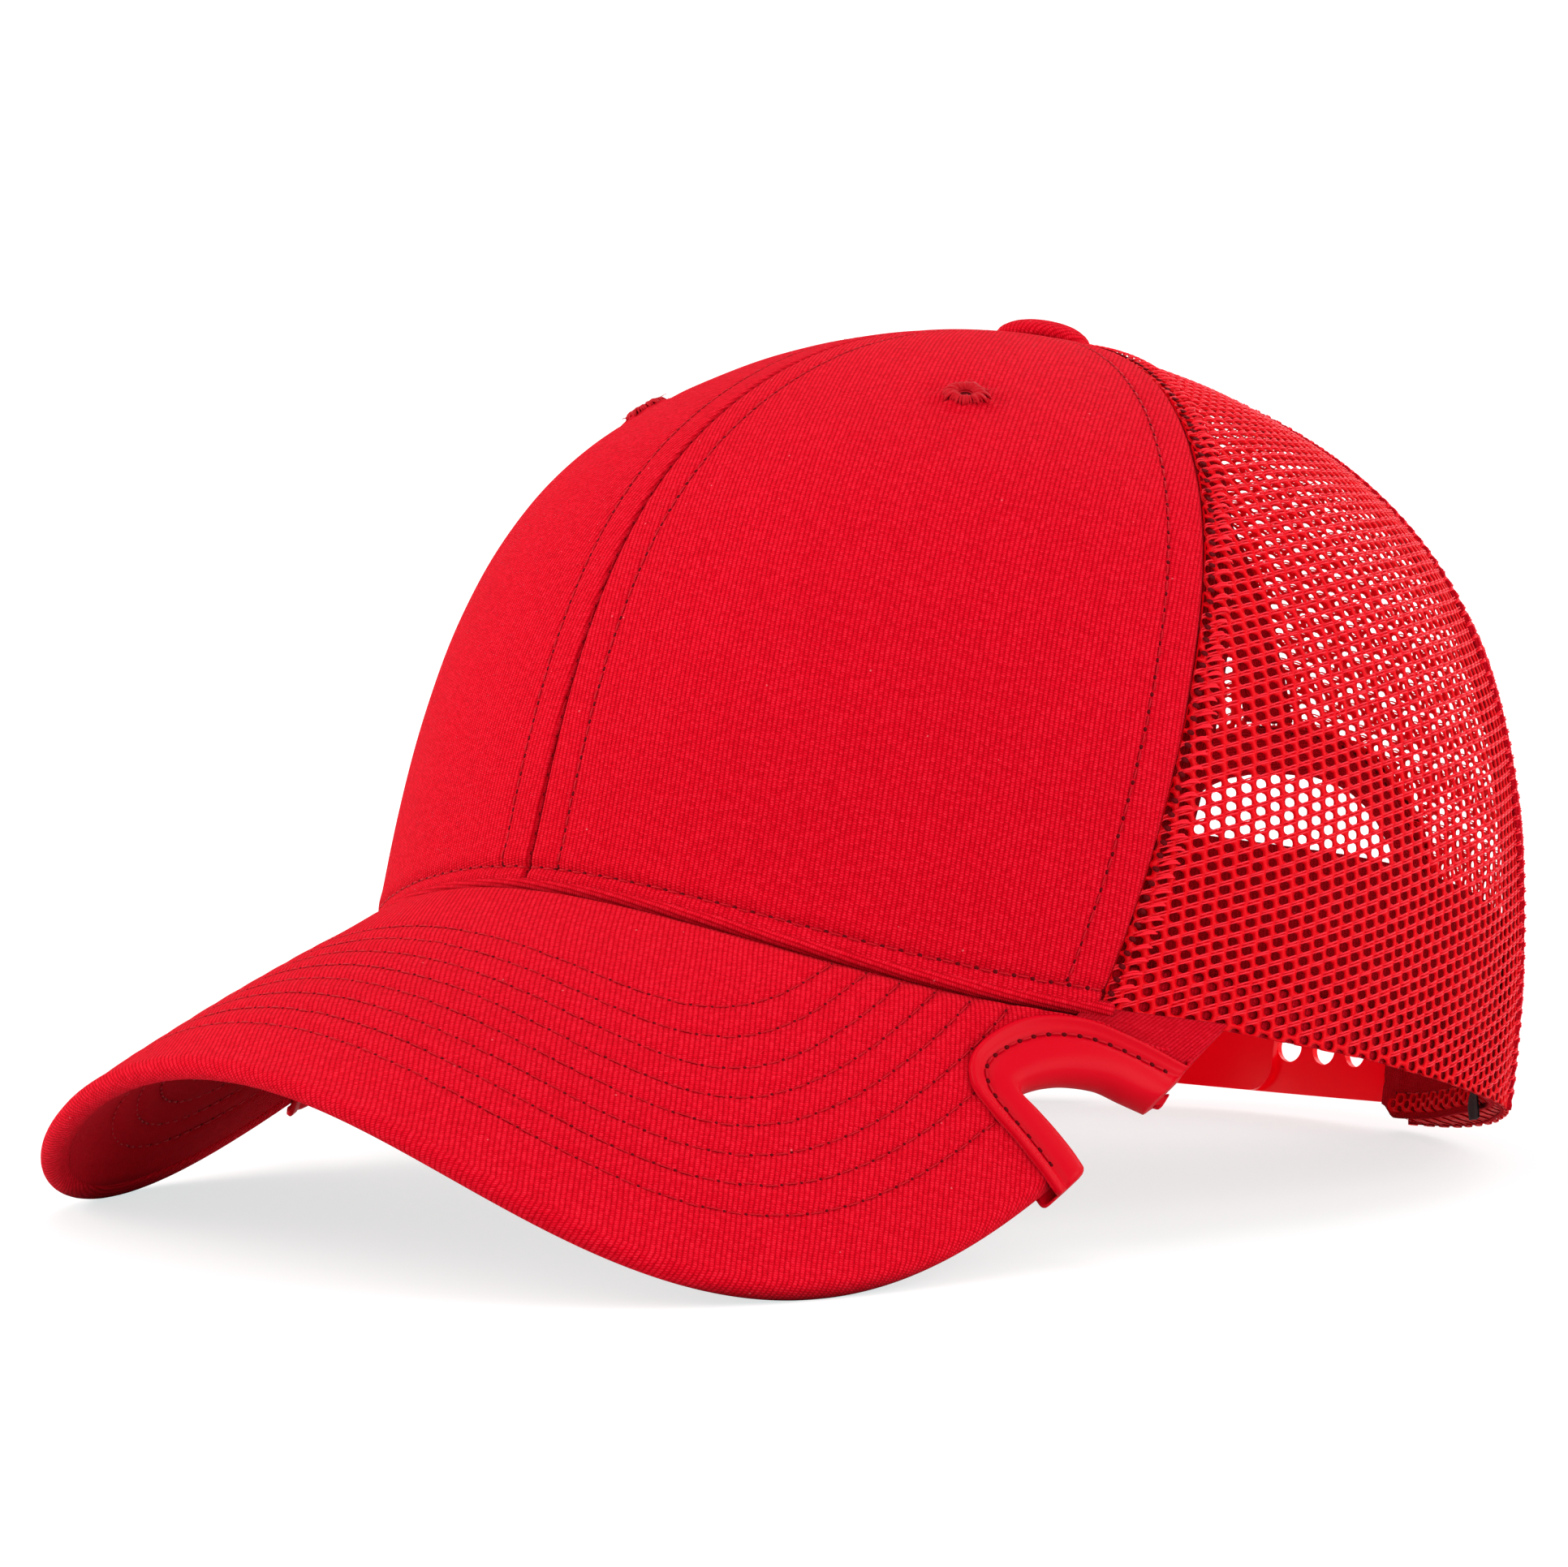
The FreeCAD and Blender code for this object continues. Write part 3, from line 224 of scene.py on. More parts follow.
def sample(x, run, table):
    """Columns of a table read at x along run."""
    return np.stack([np.interp(x, run, column) for column in table.T], -1)


def soften(values):
    middle = (values[:-2] + 2 * values[1:-1] + values[2:]) / 4
    return np.concatenate([values[:1], middle, values[-1:]])


def bilinear(table, row, column):
    i = np.clip(row.astype(int), 0, len(table) - 2)
    j = column.astype(int)
    down, over = row - i, column - j
    first = table[i, j] * (1 - over) + table[i, j + 1] * over
    second = table[i + 1, j] * (1 - over) + table[i + 1, j + 1] * over
    return first * (1 - down) + second * down


def plane_uv(rows, columns):
    return np.stack(np.meshgrid(rows, columns, indexing="ij"), -1)


def arc_uv(points):
    """Cloth coordinates: along the rows from the middle one, and up the columns."""
    along, up = arc_length(points, 0), arc_length(points, 1)
    middle = points.shape[0] // 2
    return np.stack([along - along[middle], up[middle] + 0 * up], -1)


# ============================================================ mesh helpers
def sag_table():
    """Drop of the hem along y."""
    y = np.linspace(-60, 100, 81)
    sag = np.interp(y, [-60, -50, -38, -18, 5, 20, 36, 64], [0, 0, 0.0, 1.8, 3.2, 3.2, 2.5, 0])
    for k in range(6):
        sag = soften(sag)
    return y, sag


SAG_Y, SAG = sag_table()


def settle(points):
    """The soft hem hangs lower half way back, and the right rear foot sits a little higher."""
    x, y, z = points.T
    above_hem = z - np.interp(y, [-43.0, 83.0], [24.0, 2.0])
    hang = np.interp(y, SAG_Y, SAG) * smooth(48.0, 2.0, above_hem) * smooth(20.0, 40.0, np.abs(x))
    foot = 1.35 * smooth(58.0, 80.0, y) * smooth(9.0, 2.0, z) * smooth(-12.0, -28.0, x)
    settled = points.copy()
    settled[:, 2] += foot - hang
    return settled


def build_mesh(name, points, faces, material, uv=None, soft=True):
    """Smooth object from world points in mm and a list of (count, corners) face arrays."""
    mesh = bpy.data.meshes.new(name)
    points = (settle(points) if soft else points) / 1000.0
    mesh.vertices.add(len(points))
    mesh.vertices.foreach_set("co", points.ravel())
    loops = np.concatenate([part.ravel() for part in faces])
    sizes = np.concatenate([np.full(len(part), part.shape[1]) for part in faces])
    mesh.loops.add(len(loops))
    mesh.loops.foreach_set("vertex_index", loops)
    mesh.polygons.add(len(sizes))
    mesh.polygons.foreach_set("loop_start", np.concatenate([[0], np.cumsum(sizes)[:-1]]))
    mesh.polygons.foreach_set("loop_total", sizes)
    mesh.polygons.foreach_set("use_smooth", np.ones(len(sizes), bool))
    mesh.update(calc_edges=True)
    if uv is not None:
        layer = mesh.uv_layers.new(name="cloth")
        layer.data.foreach_set("uv", uv[loops].ravel())
    mesh.validate()
    thing = bpy.data.objects.new(name, mesh)
    bpy.context.scene.collection.objects.link(thing)
    mesh.materials.append(material)
    return thing


def face_outwards(thing):
    """Flip a closed mesh whose signed volume is negative."""
    mesh = thing.data
    places = np.empty(len(mesh.vertices) * 3)
    mesh.vertices.foreach_get("co", places)
    places = places.reshape(-1, 3)
    mesh.calc_loop_triangles()
    triangles = np.empty(len(mesh.loop_triangles) * 3, np.int64)
    mesh.loop_triangles.foreach_get("vertices", triangles)
    first, second, third = places[triangles.reshape(-1, 3)].transpose(1, 0, 2)
    if np.sum(dot(first, np.cross(second, third))) < 0:
        mesh.flip_normals()


def register(thing, replaces=None):
    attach(thing, ROOT)
    if replaces:
        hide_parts(replaces)


def build_sheet(name, outer, inner, material, uv=None, soft=True):
    """Closed sheet between two equal point grids."""
    rows, columns = outer.shape[:2]
    count = rows * columns
    ids = np.arange(count).reshape(rows, columns)
    quads = np.stack([ids[:-1, :-1], ids[1:, :-1], ids[1:, 1:], ids[:-1, 1:]], -1).reshape(-1, 4)
    faces = [quads, (quads + count)[:, ::-1]]
    for line, back in ((ids[0], 0), (ids[-1], 1), (ids[:, 0], 1), (ids[:, -1], 0)):
        rim = np.stack([line[:-1], line[1:], line[1:] + count, line[:-1] + count], -1)
        faces.append(rim[:, ::-1] if back else rim)
    points = np.concatenate([outer.reshape(-1, 3), inner.reshape(-1, 3)])
    if uv is not None:
        uv = np.concatenate([uv.reshape(-1, 2)] * 2)
    thing = build_mesh(name, points, [np.concatenate(faces)], material, uv, soft)
    face_outwards(thing)
    return thing


def add_sheets(name, outer, inner, material, uv=None, replaces=None, sides=SIDES):
    for suffix, side in sides:
        thing = build_sheet(name + suffix, to_side(side, outer), to_side(side, inner),
                            material, uv)
        register(thing, replaces and replaces + suffix)


def add_side_mesh(name, side, points, faces, material, slot, replaces=None):
    if side < 0:
        faces = [part[:, ::-1] for part in faces]
    thing = build_mesh(name, to_side(side, points), faces, material)
    register(thing, replaces)


def tubes(paths, radius, sides, flat, normals):
    """Points and faces of many short tubes. paths and normals: (count, stations, 3)."""
    paths = np.asarray(paths, float)
    count, stations = paths.shape[:2]
    ahead = np.empty_like(paths)
    ahead[:, 1:-1] = paths[:, 2:] - paths[:, :-2]
    ahead[:, 0] = paths[:, 1] - paths[:, 0]
    ahead[:, -1] = paths[:, -1] - paths[:, -2]
    ahead = unit(ahead)
    up = unit(normals - ahead * np.sum(normals * ahead, -1, keepdims=True))
    aside = np.cross(ahead, up)
    radius = np.broadcast_to(np.asarray(radius, float), (stations,))
    angle = 2 * np.pi * (np.arange(sides) + 0.5) / sides
    ring = (up[:, :, None] * (np.cos(angle) * flat)[:, None]
            + aside[:, :, None] * np.sin(angle)[:, None])
    points = (paths[:, :, None] + ring * radius[:, None, None]).reshape(-1, 3)
    ids = np.arange(count * stations * sides).reshape(count, stations, sides)
    beside = np.roll(ids, -1, 2)
    walls = np.stack([ids[:, :-1], beside[:, :-1], beside[:, 1:], ids[:, 1:]], -1).reshape(-1, 4)
    return points, [walls, np.concatenate([ids[:, 0, ::-1], ids[:, -1]])]


class Pieces:
    """Collects small forms into one mesh."""
    def __init__(self):
        self.points, self.faces, self.count = [], {}, 0

    def add(self, points, faces):
        for part in faces:
            self.faces.setdefault(part.shape[1], []).append(part + self.count)
        self.points.append(points)
        self.count += len(points)

    def mesh(self):
        return np.concatenate(self.points), [np.concatenate(part) for part in self.faces.values()]

    def build(self, name, material, slot):
        register(build_mesh(name, *self.mesh(), material))


threads, holes = Pieces(), Pieces()


def cut_holes(mouth, bottom, ahead, aside, ahead_radius, aside_radius, corners):
    """Needle holes: oval mouths closed by cones down to the bottom points."""
    angle = 2 * np.pi * np.arange(corners) / corners
    ring = (mouth[:, None] + ahead[:, None] * (np.cos(angle) * ahead_radius)[:, None]
            + aside[:, None] * (np.sin(angle) * aside_radius)[:, None])
    points = np.concatenate([ring, bottom[:, None]], 1).reshape(-1, 3)
    ids = np.arange(len(points)).reshape(-1, corners + 1)
    rim = ids[:, :-1]
    cone = np.stack([rim, np.roll(rim, -1, 1), ids[:, -1:] + 0 * rim], -1).reshape(-1, 3)
    holes.add(points, [cone, rim[:, ::-1]])


def stitch(points, normals, length, gap=0.7, radius=0.16, rise=0.10, sink=0.22, hole=0.30):
    """Lockstitches whose ends dip into the cloth, with a needle hole at each dip."""
    run = arc_length(points)
    count = int(run[-1] / (length + gap))
    if count < 1:
        return
    step = run[-1] / count

    def walk(x):
        return sample(x, run, points), unit(sample(x, run, normals))

    start = np.arange(count)[:, None] * step + gap / 2
    path, up = walk(start + (step - gap) * np.linspace(0, 1, 6))
    aside = unit(np.cross(up, np.roll(path, -1, 1) - path + 1e-9))
    aside[:, -1] = aside[:, -2]
    height = rise - (rise + sink) * np.linspace(-1, 1, 6) ** 6
    sway = np.random.default_rng(count).normal(size=(count, 1)) * 0.06
    path = path + up * height[:, None] + aside * sway[..., None]
    threads.add(*tubes(path, radius * np.array([0.75, 0.95, 1.0, 1.0, 0.95, 0.75]), 5, 0.85, up))
    if hole:
        at = np.arange(count + 1) * step
        centre, up = walk(at)
        ahead = unit(walk(np.clip(at + 0.2, 0, run[-1]))[0] - walk(np.clip(at - 0.2, 0, run[-1]))[0])
        cut_holes(centre + up * 0.035, centre - up * 0.25, ahead, unit(np.cross(up, ahead)),
                  hole * 1.25, hole, 7)


def stitch_both(points, normals, **style):
    for suffix, side in SIDES:
        stitch(to_side(side, points), to_side(side, normals), **style)


# ============================================================ materials
class Nodes:
    """Short forms for building a node tree. A node stands for its first output."""
    def __init__(self, tree):
        self.tree = tree

    def fill(self, node, inputs):
        for key, value in inputs.items():
            socket = node.inputs[key]
            if isinstance(value, bpy.types.Node):
                value = value.outputs[0]
            if isinstance(value, bpy.types.NodeSocket):
                self.tree.links.new(value, socket)
            elif socket.type == "RGBA":
                socket.default_value = (*value[:3], 1.0)
            else:
                socket.default_value = value

    def node(self, kind, inputs=None, **settings):
        node = self.tree.nodes.new("ShaderNode" + kind)
        for key, value in settings.items():
            setattr(node, key, value)
        self.fill(node, inputs or {})
        return node

    def math(self, operation, *values):
        return self.node("Math", dict(enumerate(values)), operation=operation)

    def mix(self, factor, first, second):
        return self.node("Mix", {0: factor, 6: first, 7: second}, data_type="RGBA").outputs[2]

    def noise(self, place, scale, detail):
        return self.node("TexNoise", {"Vector": place, "Scale": scale, "Detail": detail})

    def object_place(self):
        return self.node("TexCoord").outputs["Object"]


def new_material(name):
    material = bpy.data.materials.new(name)
    material.use_nodes = True
    shader = Nodes(material.node_tree)
    shader.tree.nodes.clear()
    shader.output = shader.node("OutputMaterial")
    shader.bsdf = shader.node("BsdfPrincipled")
    shader.fill(shader.output, {0: shader.bsdf})
    return material, shader


def scaled(colour, factor):
    return tuple(part * factor for part in colour)


def cloth_material(name, base, dark, light, rib=0.74, cross=0.37, slant=0.10, bump=0.36,
                   rough=0.85, sheen=0.07, sheen_tint=(1.0, 0.13, 0.20), lint=0.35, plain=False):
    """Woven cloth in UV mm. rib, cross: thread pitches; plain: square weave, not twill."""
    material, shader = new_material(name)
    calc = shader.math
    cloth = shader.node("SeparateXYZ", {0: shader.node("UVMap", uv_map="cloth")})
    across, up = calc("MULTIPLY", cloth.outputs[0], 1.0), calc("MULTIPLY", cloth.outputs[1], 1.0)
    place = shader.object_place()
    # ribs, a little wavy, crossed by threads whose phase shifts from rib to rib
    wobble = calc("SUBTRACT", shader.noise(place, 90.0, 3.0), 0.5)
    slanted = calc("ADD", across, calc("MULTIPLY", up, slant))
    across = calc("ADD", slanted, calc("MULTIPLY", wobble, 0.5))
    ribs = calc("ABSOLUTE", calc("SINE", calc("MULTIPLY", across, math.pi / rib)))
    phase = calc("MULTIPLY", calc("FLOOR", calc("DIVIDE", across, rib)), 2.1)
    crossing = calc("SINE", calc("ADD", calc("MULTIPLY", up, 2 * math.pi / cross), phase))
    crossing = calc("MULTIPLY_ADD", crossing, 0.5, 0.5)
    if plain:
        height = calc("MULTIPLY", ribs, calc("MULTIPLY_ADD", crossing, 0.6, 0.4))
    else:
        height = calc("MULTIPLY", calc("POWER", ribs, 0.7),
                      calc("MULTIPLY_ADD", crossing, 0.52, 0.48))
    fuzz = shader.noise(place, 2600.0, 2.0)
    patches = shader.noise(place, 28.0, 4.0)
    relief = calc("ADD", height, calc("MULTIPLY", fuzz, 0.45))
    normal = shader.node("Bump", {"Strength": 0.75, "Distance": bump / 1000.0, "Height": relief})
    # a random shade for each thread crossing
    shift = calc("ADD", calc("DIVIDE", up, cross), calc("DIVIDE", phase, 2 * math.pi))
    cell = shader.node("CombineXYZ", {0: calc("FLOOR", calc("DIVIDE", across, rib)),
                                      1: calc("FLOOR", shift)})
    grain = shader.node("TexWhiteNoise", {"Vector": cell}).outputs["Value"]
    # painted shade and highlight: the weave's low parts are coloured towards dark and its crests
    # towards light, following the relief that also drives the bump; the fuzz and the value drawn for
    # each crossing add uneven tone
    shade = calc("ADD", calc("MULTIPLY", height, 0.52), calc("MULTIPLY", fuzz, 0.38))
    shade = calc("ADD", shade, calc("MULTIPLY_ADD", grain, 0.17, -0.04))
    ramp = shader.node("ValToRGB", {0: shade})
    stops = ramp.color_ramp.elements
    stops[0].position, stops[0].color = 0.12, (*dark, 1)
    stops[1].position, stops[1].color = 0.95, (*light, 1)
    stops.new(0.55).color = (*base, 1)
    patchy = calc("MULTIPLY", calc("SUBTRACT", patches, 0.35), 0.28)
    colour = shader.mix(patchy, ramp, dark)
    # sparse pale lint caught in the nap
    specks = shader.node("TexVoronoi", {"Vector": place, "Scale": 190.0}).outputs["Distance"]
    speck = calc("LESS_THAN", specks, 0.030)
    colour = shader.mix(calc("MULTIPLY", speck, lint), colour, (0.95, 0.30, 0.32))
    # painted shade: creases and gaps, found by an ambient occlusion sample, darken the base colour
    occlusion = shader.node("AmbientOcclusion", {"Distance": 0.004}, samples=4)
    painted_crease_shade = calc("SUBTRACT", 1.0, calc("POWER", occlusion.outputs["AO"], 1.0))
    colour = shader.mix(calc("MULTIPLY", painted_crease_shade, 0.9), colour, scaled(dark, 0.25))
    shader.fill(shader.bsdf, {
        "Normal": normal, "Base Color": colour, "Roughness": rough, "Specular IOR Level": 0.035,
        "Sheen Weight": sheen, "Sheen Roughness": 0.34, "Sheen Tint": sheen_tint})
    return material


def filament_material(name, base, rough=0.38, translucent=0.34, glow=0.0):
    material, shader = new_material(name)
    place = shader.object_place()
    grain = shader.noise(place, 900.0, 3.0)
    streaks = shader.noise(place, 45.0, 2.0)
    normal = shader.node("Bump", {"Strength": 0.5, "Distance": 0.00018, "Height": grain})
    dark = scaled(base, 0.74)
    colour = shader.mix(shader.math("MULTIPLY_ADD", grain, 0.8, 0.1), dark, base)
    colour = shader.mix(shader.math("MULTIPLY", streaks, 0.25), colour, dark)
    shader.fill(shader.bsdf, {
        # painted glow: an emission of strength glow brightens the filament beyond what the lamps give
        "Normal": normal, "Base Color": colour, "Roughness": rough, "Specular IOR Level": 0.10,
        "Emission Color": (1.0, 0.002, 0.012), "Emission Strength": glow})
    glass = shader.node("BsdfTranslucent", {0: colour})
    shader.fill(shader.output,
                {0: shader.node("MixShader", {0: translucent, 1: shader.bsdf, 2: glass})})
    return material


def plain_material(name, base, rough, specular, grain_scale=900.0, bump=0.05, extra=None):
    """Fine grained solid with slight wear. extra: more surface inputs."""
    material, shader = new_material(name)
    place = shader.object_place()
    grain = shader.noise(place, grain_scale, 4.0)
    wear = shader.noise(place, 60.0, 5.0)
    shader.fill(shader.bsdf, {
        "Normal": shader.node("Bump", {"Strength": 0.4, "Distance": bump / 1000.0,
                                       "Height": grain}),
        "Base Color": shader.mix(shader.math("MULTIPLY", wear, 0.24), base, scaled(base, 0.6)),
        "Roughness": shader.math("MULTIPLY_ADD", wear, 0.16, rough - 0.08),
        "Specular IOR Level": specular, **(extra or {})})
    return material


# dark and light are also the colours of the weave's painted shade in its low parts and painted
# highlight on its crests
TWILL = cloth_material("brushed_twill", base=(0.74, 0.0009, 0.0125), dark=(0.38, 0.0002, 0.004),
                       light=(1.0, 0.026, 0.058))
BAND_TWILL = cloth_material("band_twill", base=(0.58, 0.002, 0.012), dark=(0.42, 0.0006, 0.005),
                            light=(0.70, 0.006, 0.02), rib=0.7, cross=0.35, lint=0.15)
TAPE = cloth_material("woven_tape", base=(0.60, 0.002, 0.012), dark=(0.40, 0.0005, 0.005),
                      light=(0.72, 0.006, 0.02), rib=0.55, cross=0.55, slant=0.0, plain=True,
                      lint=0.1)
BUCKRAM = cloth_material("buckram", base=(0.72, 0.70, 0.66), dark=(0.45, 0.43, 0.40),
                         light=(0.85, 0.84, 0.80), rib=1.15, cross=1.15, slant=0.0, bump=0.5,
                         rough=0.9, sheen=0.1, sheen_tint=(1, 1, 1), lint=0.0, plain=True)
TAG = cloth_material("tag_ribbon", base=(0.018, 0.018, 0.02), dark=(0.008, 0.008, 0.009),
                     light=(0.04, 0.04, 0.045), rib=0.35, cross=0.35, slant=0.0, rough=0.5,
                     sheen=0.2, sheen_tint=(1, 1, 1), lint=0.0, plain=True)
# painted glow: the net filament, its loops and the overlock thread all give off a faint red light
NET = filament_material("mesh_filament", (1.0, 0.0008, 0.010), glow=0.10)
# painted highlight: the loops take a paler copy of the net filament's colour, standing in for the
# light caught on their raised tops
LOOP_WITH_PAINTED_HIGHLIGHT = filament_material("mesh_loops", (1.0, 0.030, 0.055), rough=0.28, translucent=0.25,
                         glow=0.14)
THREAD = filament_material("sewing_thread", (0.58, 0.002, 0.012), rough=0.5, translucent=0.0)
WHIP = filament_material("overlock_thread", (1.0, 0.014, 0.034), rough=0.36, translucent=0.15,
                         glow=0.10)
RUBBER = plain_material("soft_rubber", (0.62, 0.0002, 0.010), rough=0.33, specular=0.06,
                        grain_scale=1400.0, bump=0.03)
# painted glow: a faint red emission brightens the straps, standing in for light that passes through
# the plastic
PLASTIC = plain_material("strap_plastic", (0.94, 0.0002, 0.007), rough=0.24, specular=0.16,
                         grain_scale=500.0, bump=0.02, extra={
                             "Emission Color": (1.0, 0.0004, 0.010), "Emission Strength": 0.17,
                             "Subsurface Weight": 0.25,
                             "Subsurface Radius": (0.004, 0.0006, 0.0006),
                             "Subsurface Scale": 1.0})
BOARD = plain_material("board_plastic", (0.50, 0.0006, 0.008), rough=0.6, specular=0.05,
                       grain_scale=400.0, bump=0.05)
METAL = plain_material("pressed_metal", (0.62, 0.60, 0.57), rough=0.36, specular=0.5,
                       grain_scale=1800.0, bump=0.03, extra={"Metallic": 1.0})
# painted shade: needle holes and the eyelet's hole are coloured dark, for the shade inside them
HOLE_PAINTED_SHADE = plain_material("needle_hole_painted_shade", (0.13, 0.0005, 0.003), rough=0.9, specular=0.1)


# ============================================================ front panels
EYELET_PHI, EYELET_RISE = 31.8, 0.762
EYELET, EYELET_NORMAL = crown(EYELET_PHI, EYELET_RISE), crown_normal(EYELET_PHI, EYELET_RISE)
# distance of the stitch rows from the centre seam, the front seam and the hem
CENTRE_ROW, SEAM_ROW, HEM_ROW = 5.8, 6.0, 3.7


def front_patch(gap, top_radius, across, upward, low=0.0):
    """phi and rise on a grid between the centre and the front seam, kept a gap clear of both."""
    across, upward = np.meshgrid(across, upward, indexing="ij")
    phi = front_seam(0 * across) * across
    for k in range(5):
        top = rise_at_radius(phi, top_radius)
        first = 1 - (1 - low) ** (1 / LEVEL_POWER)
        last = 1 - (1 - top) ** (1 / LEVEL_POWER)
        rise = 1 - (1 - (first + (last - first) * upward)) ** LEVEL_POWER
        margin = gap / degree_mm(phi, rise)
        phi = margin + (front_seam(rise) - margin - margin) * across
    return phi, rise


def panel_relief(centre, seam, hem, points):
    """Height of the front cloth, from distances to its edges."""
    # centre seam groove, swell and stitch row
    relief = -0.60 * np.exp(-(centre / 0.34) ** 1.5)
    relief += 0.05 * bell(centre - 2.9, 2.0) - 0.20 * bell(centre - CENTRE_ROW, 0.5)
    # the same at the front seam
    relief += -0.55 * np.exp(-(seam / 0.6) ** 1.4) + 0.14 * bell(seam - 3.0, 2.0)
    relief -= 0.20 * bell(seam - SEAM_ROW, 0.5)
    # hem roll, stitch row, swell above it
    relief += 0.42 * bell(hem - 1.8, 1.6) - 0.42 * bell(hem - HEM_ROW, 0.6)
    relief += 0.12 * bell(hem - 5.6, 1.2)
    waves = noise(points, 46.0, 3) * 0.30 + noise(points, 17.0, 5) * 0.05
    return relief + waves * (1 - 0.75 * bell(centre, 9.0))


def eyelet_relief(points):
    """Puckers round the eyelet: raised rim, hollow middle, seven creases, outer dip."""
    offset = points - EYELET
    offset = offset - EYELET_NORMAL * np.sum(offset * EYELET_NORMAL, -1, keepdims=True)
    aside = unit(np.cross(EYELET_NORMAL, np.array([0, 0, 1.0])))
    x, y = offset @ aside, offset @ np.cross(EYELET_NORMAL, aside)
    radius, angle = np.hypot(x, y), np.arctan2(y, x)
    return (0.45 * bell(radius - 2.6, 1.5) - 0.8 * bell(radius, 1.3)
            + 0.16 * np.sin(7 * angle + 0.6) * bell(radius - 5.0, 2.2)
            - 0.22 * bell(radius - 5.6, 1.8))


def contour(distance, value, points, normals):
    """Line over a grid's columns where the distance equals the value."""
    line, line_normals = [], []
    for k in range(distance.shape[1]):
        column = distance[:, k]
        if column.min() <= value <= column.max():
            order = np.argsort(column)
            line.append(sample(value, column[order], points[order, k]))
            line_normals.append(sample(value, column[order], normals[order, k]))
    return np.array(line), unit(np.array(line_normals))


def front_panels():
    across = np.unique(np.concatenate([
        np.linspace(0, 1, 116), np.linspace(0, 0.02, 14), np.linspace(0.02, 0.1, 18),
        np.linspace(0.9, 1, 22)]))
    upward = np.unique(np.concatenate([np.linspace(0, 1, 150), np.linspace(0, 0.07, 20)]))
    phi, rise = front_patch(0.12, 5.0, across, upward)
    base, normals = crown(phi, rise), crown_normal(phi, rise)
    centre, hem = arc_length(base, 0), arc_length(base, 1)
    seam = centre[-1:] - centre
    relief = panel_relief(centre, seam, hem, base) + eyelet_relief(base)
    outer = to_world(base + normals * relief[..., None])
    inner = to_world(base + normals * (np.minimum(relief, 0) - 0.85)[..., None])
    add_sheets("front_panel_cloth", outer, inner, TWILL, arc_uv(base), "front_panel")
    normals = tip(normals)
    line, up = contour(centre, 0.25, outer, normals)
    stitch_both(line[6:-6] - up[6:-6] * 0.1, up[6:-6], length=2.2, gap=0.8, radius=0.10,
                rise=0.0, sink=0.25, hole=0.24)
    row = dict(length=2.0, gap=0.75)
    for distance, value in ((centre, CENTRE_ROW), (seam, SEAM_ROW)):
        line, up = contour(distance, value, outer, normals)
        stitch_both(line[8:-8], up[8:-8], **row)
    line, up = contour(hem.T, HEM_ROW, outer.swapaxes(0, 1), normals.swapaxes(0, 1))
    stitch_both(line, up, **row)
    return outer, normals


def front_stiffeners():
    phi, rise = front_patch(3.0, 12.0, np.linspace(0, 1, 24), np.linspace(0, 1, 34), low=0.012)
    base, normals = crown(phi, rise), crown_normal(phi, rise)
    add_sheets("front_stiffener", to_world(base - normals * 1.05),
               to_world(base - normals * 1.62), BUCKRAM, arc_uv(base),
               "front_buckram")


# ============================================================ net panels
CELL_WIDTH, CELL_HEIGHT = 2.6, 2.0
HOLE_WIDTH, HOLE_HEIGHT, HOLE_POWER = 0.86, 0.73, 2.2    # half sizes of a net hole
NET_HEM = -5.0          # lower edge of the net; below 0 it is folded up inside
FOLD_HEIGHT = 2.2       # cloth taken by the fold


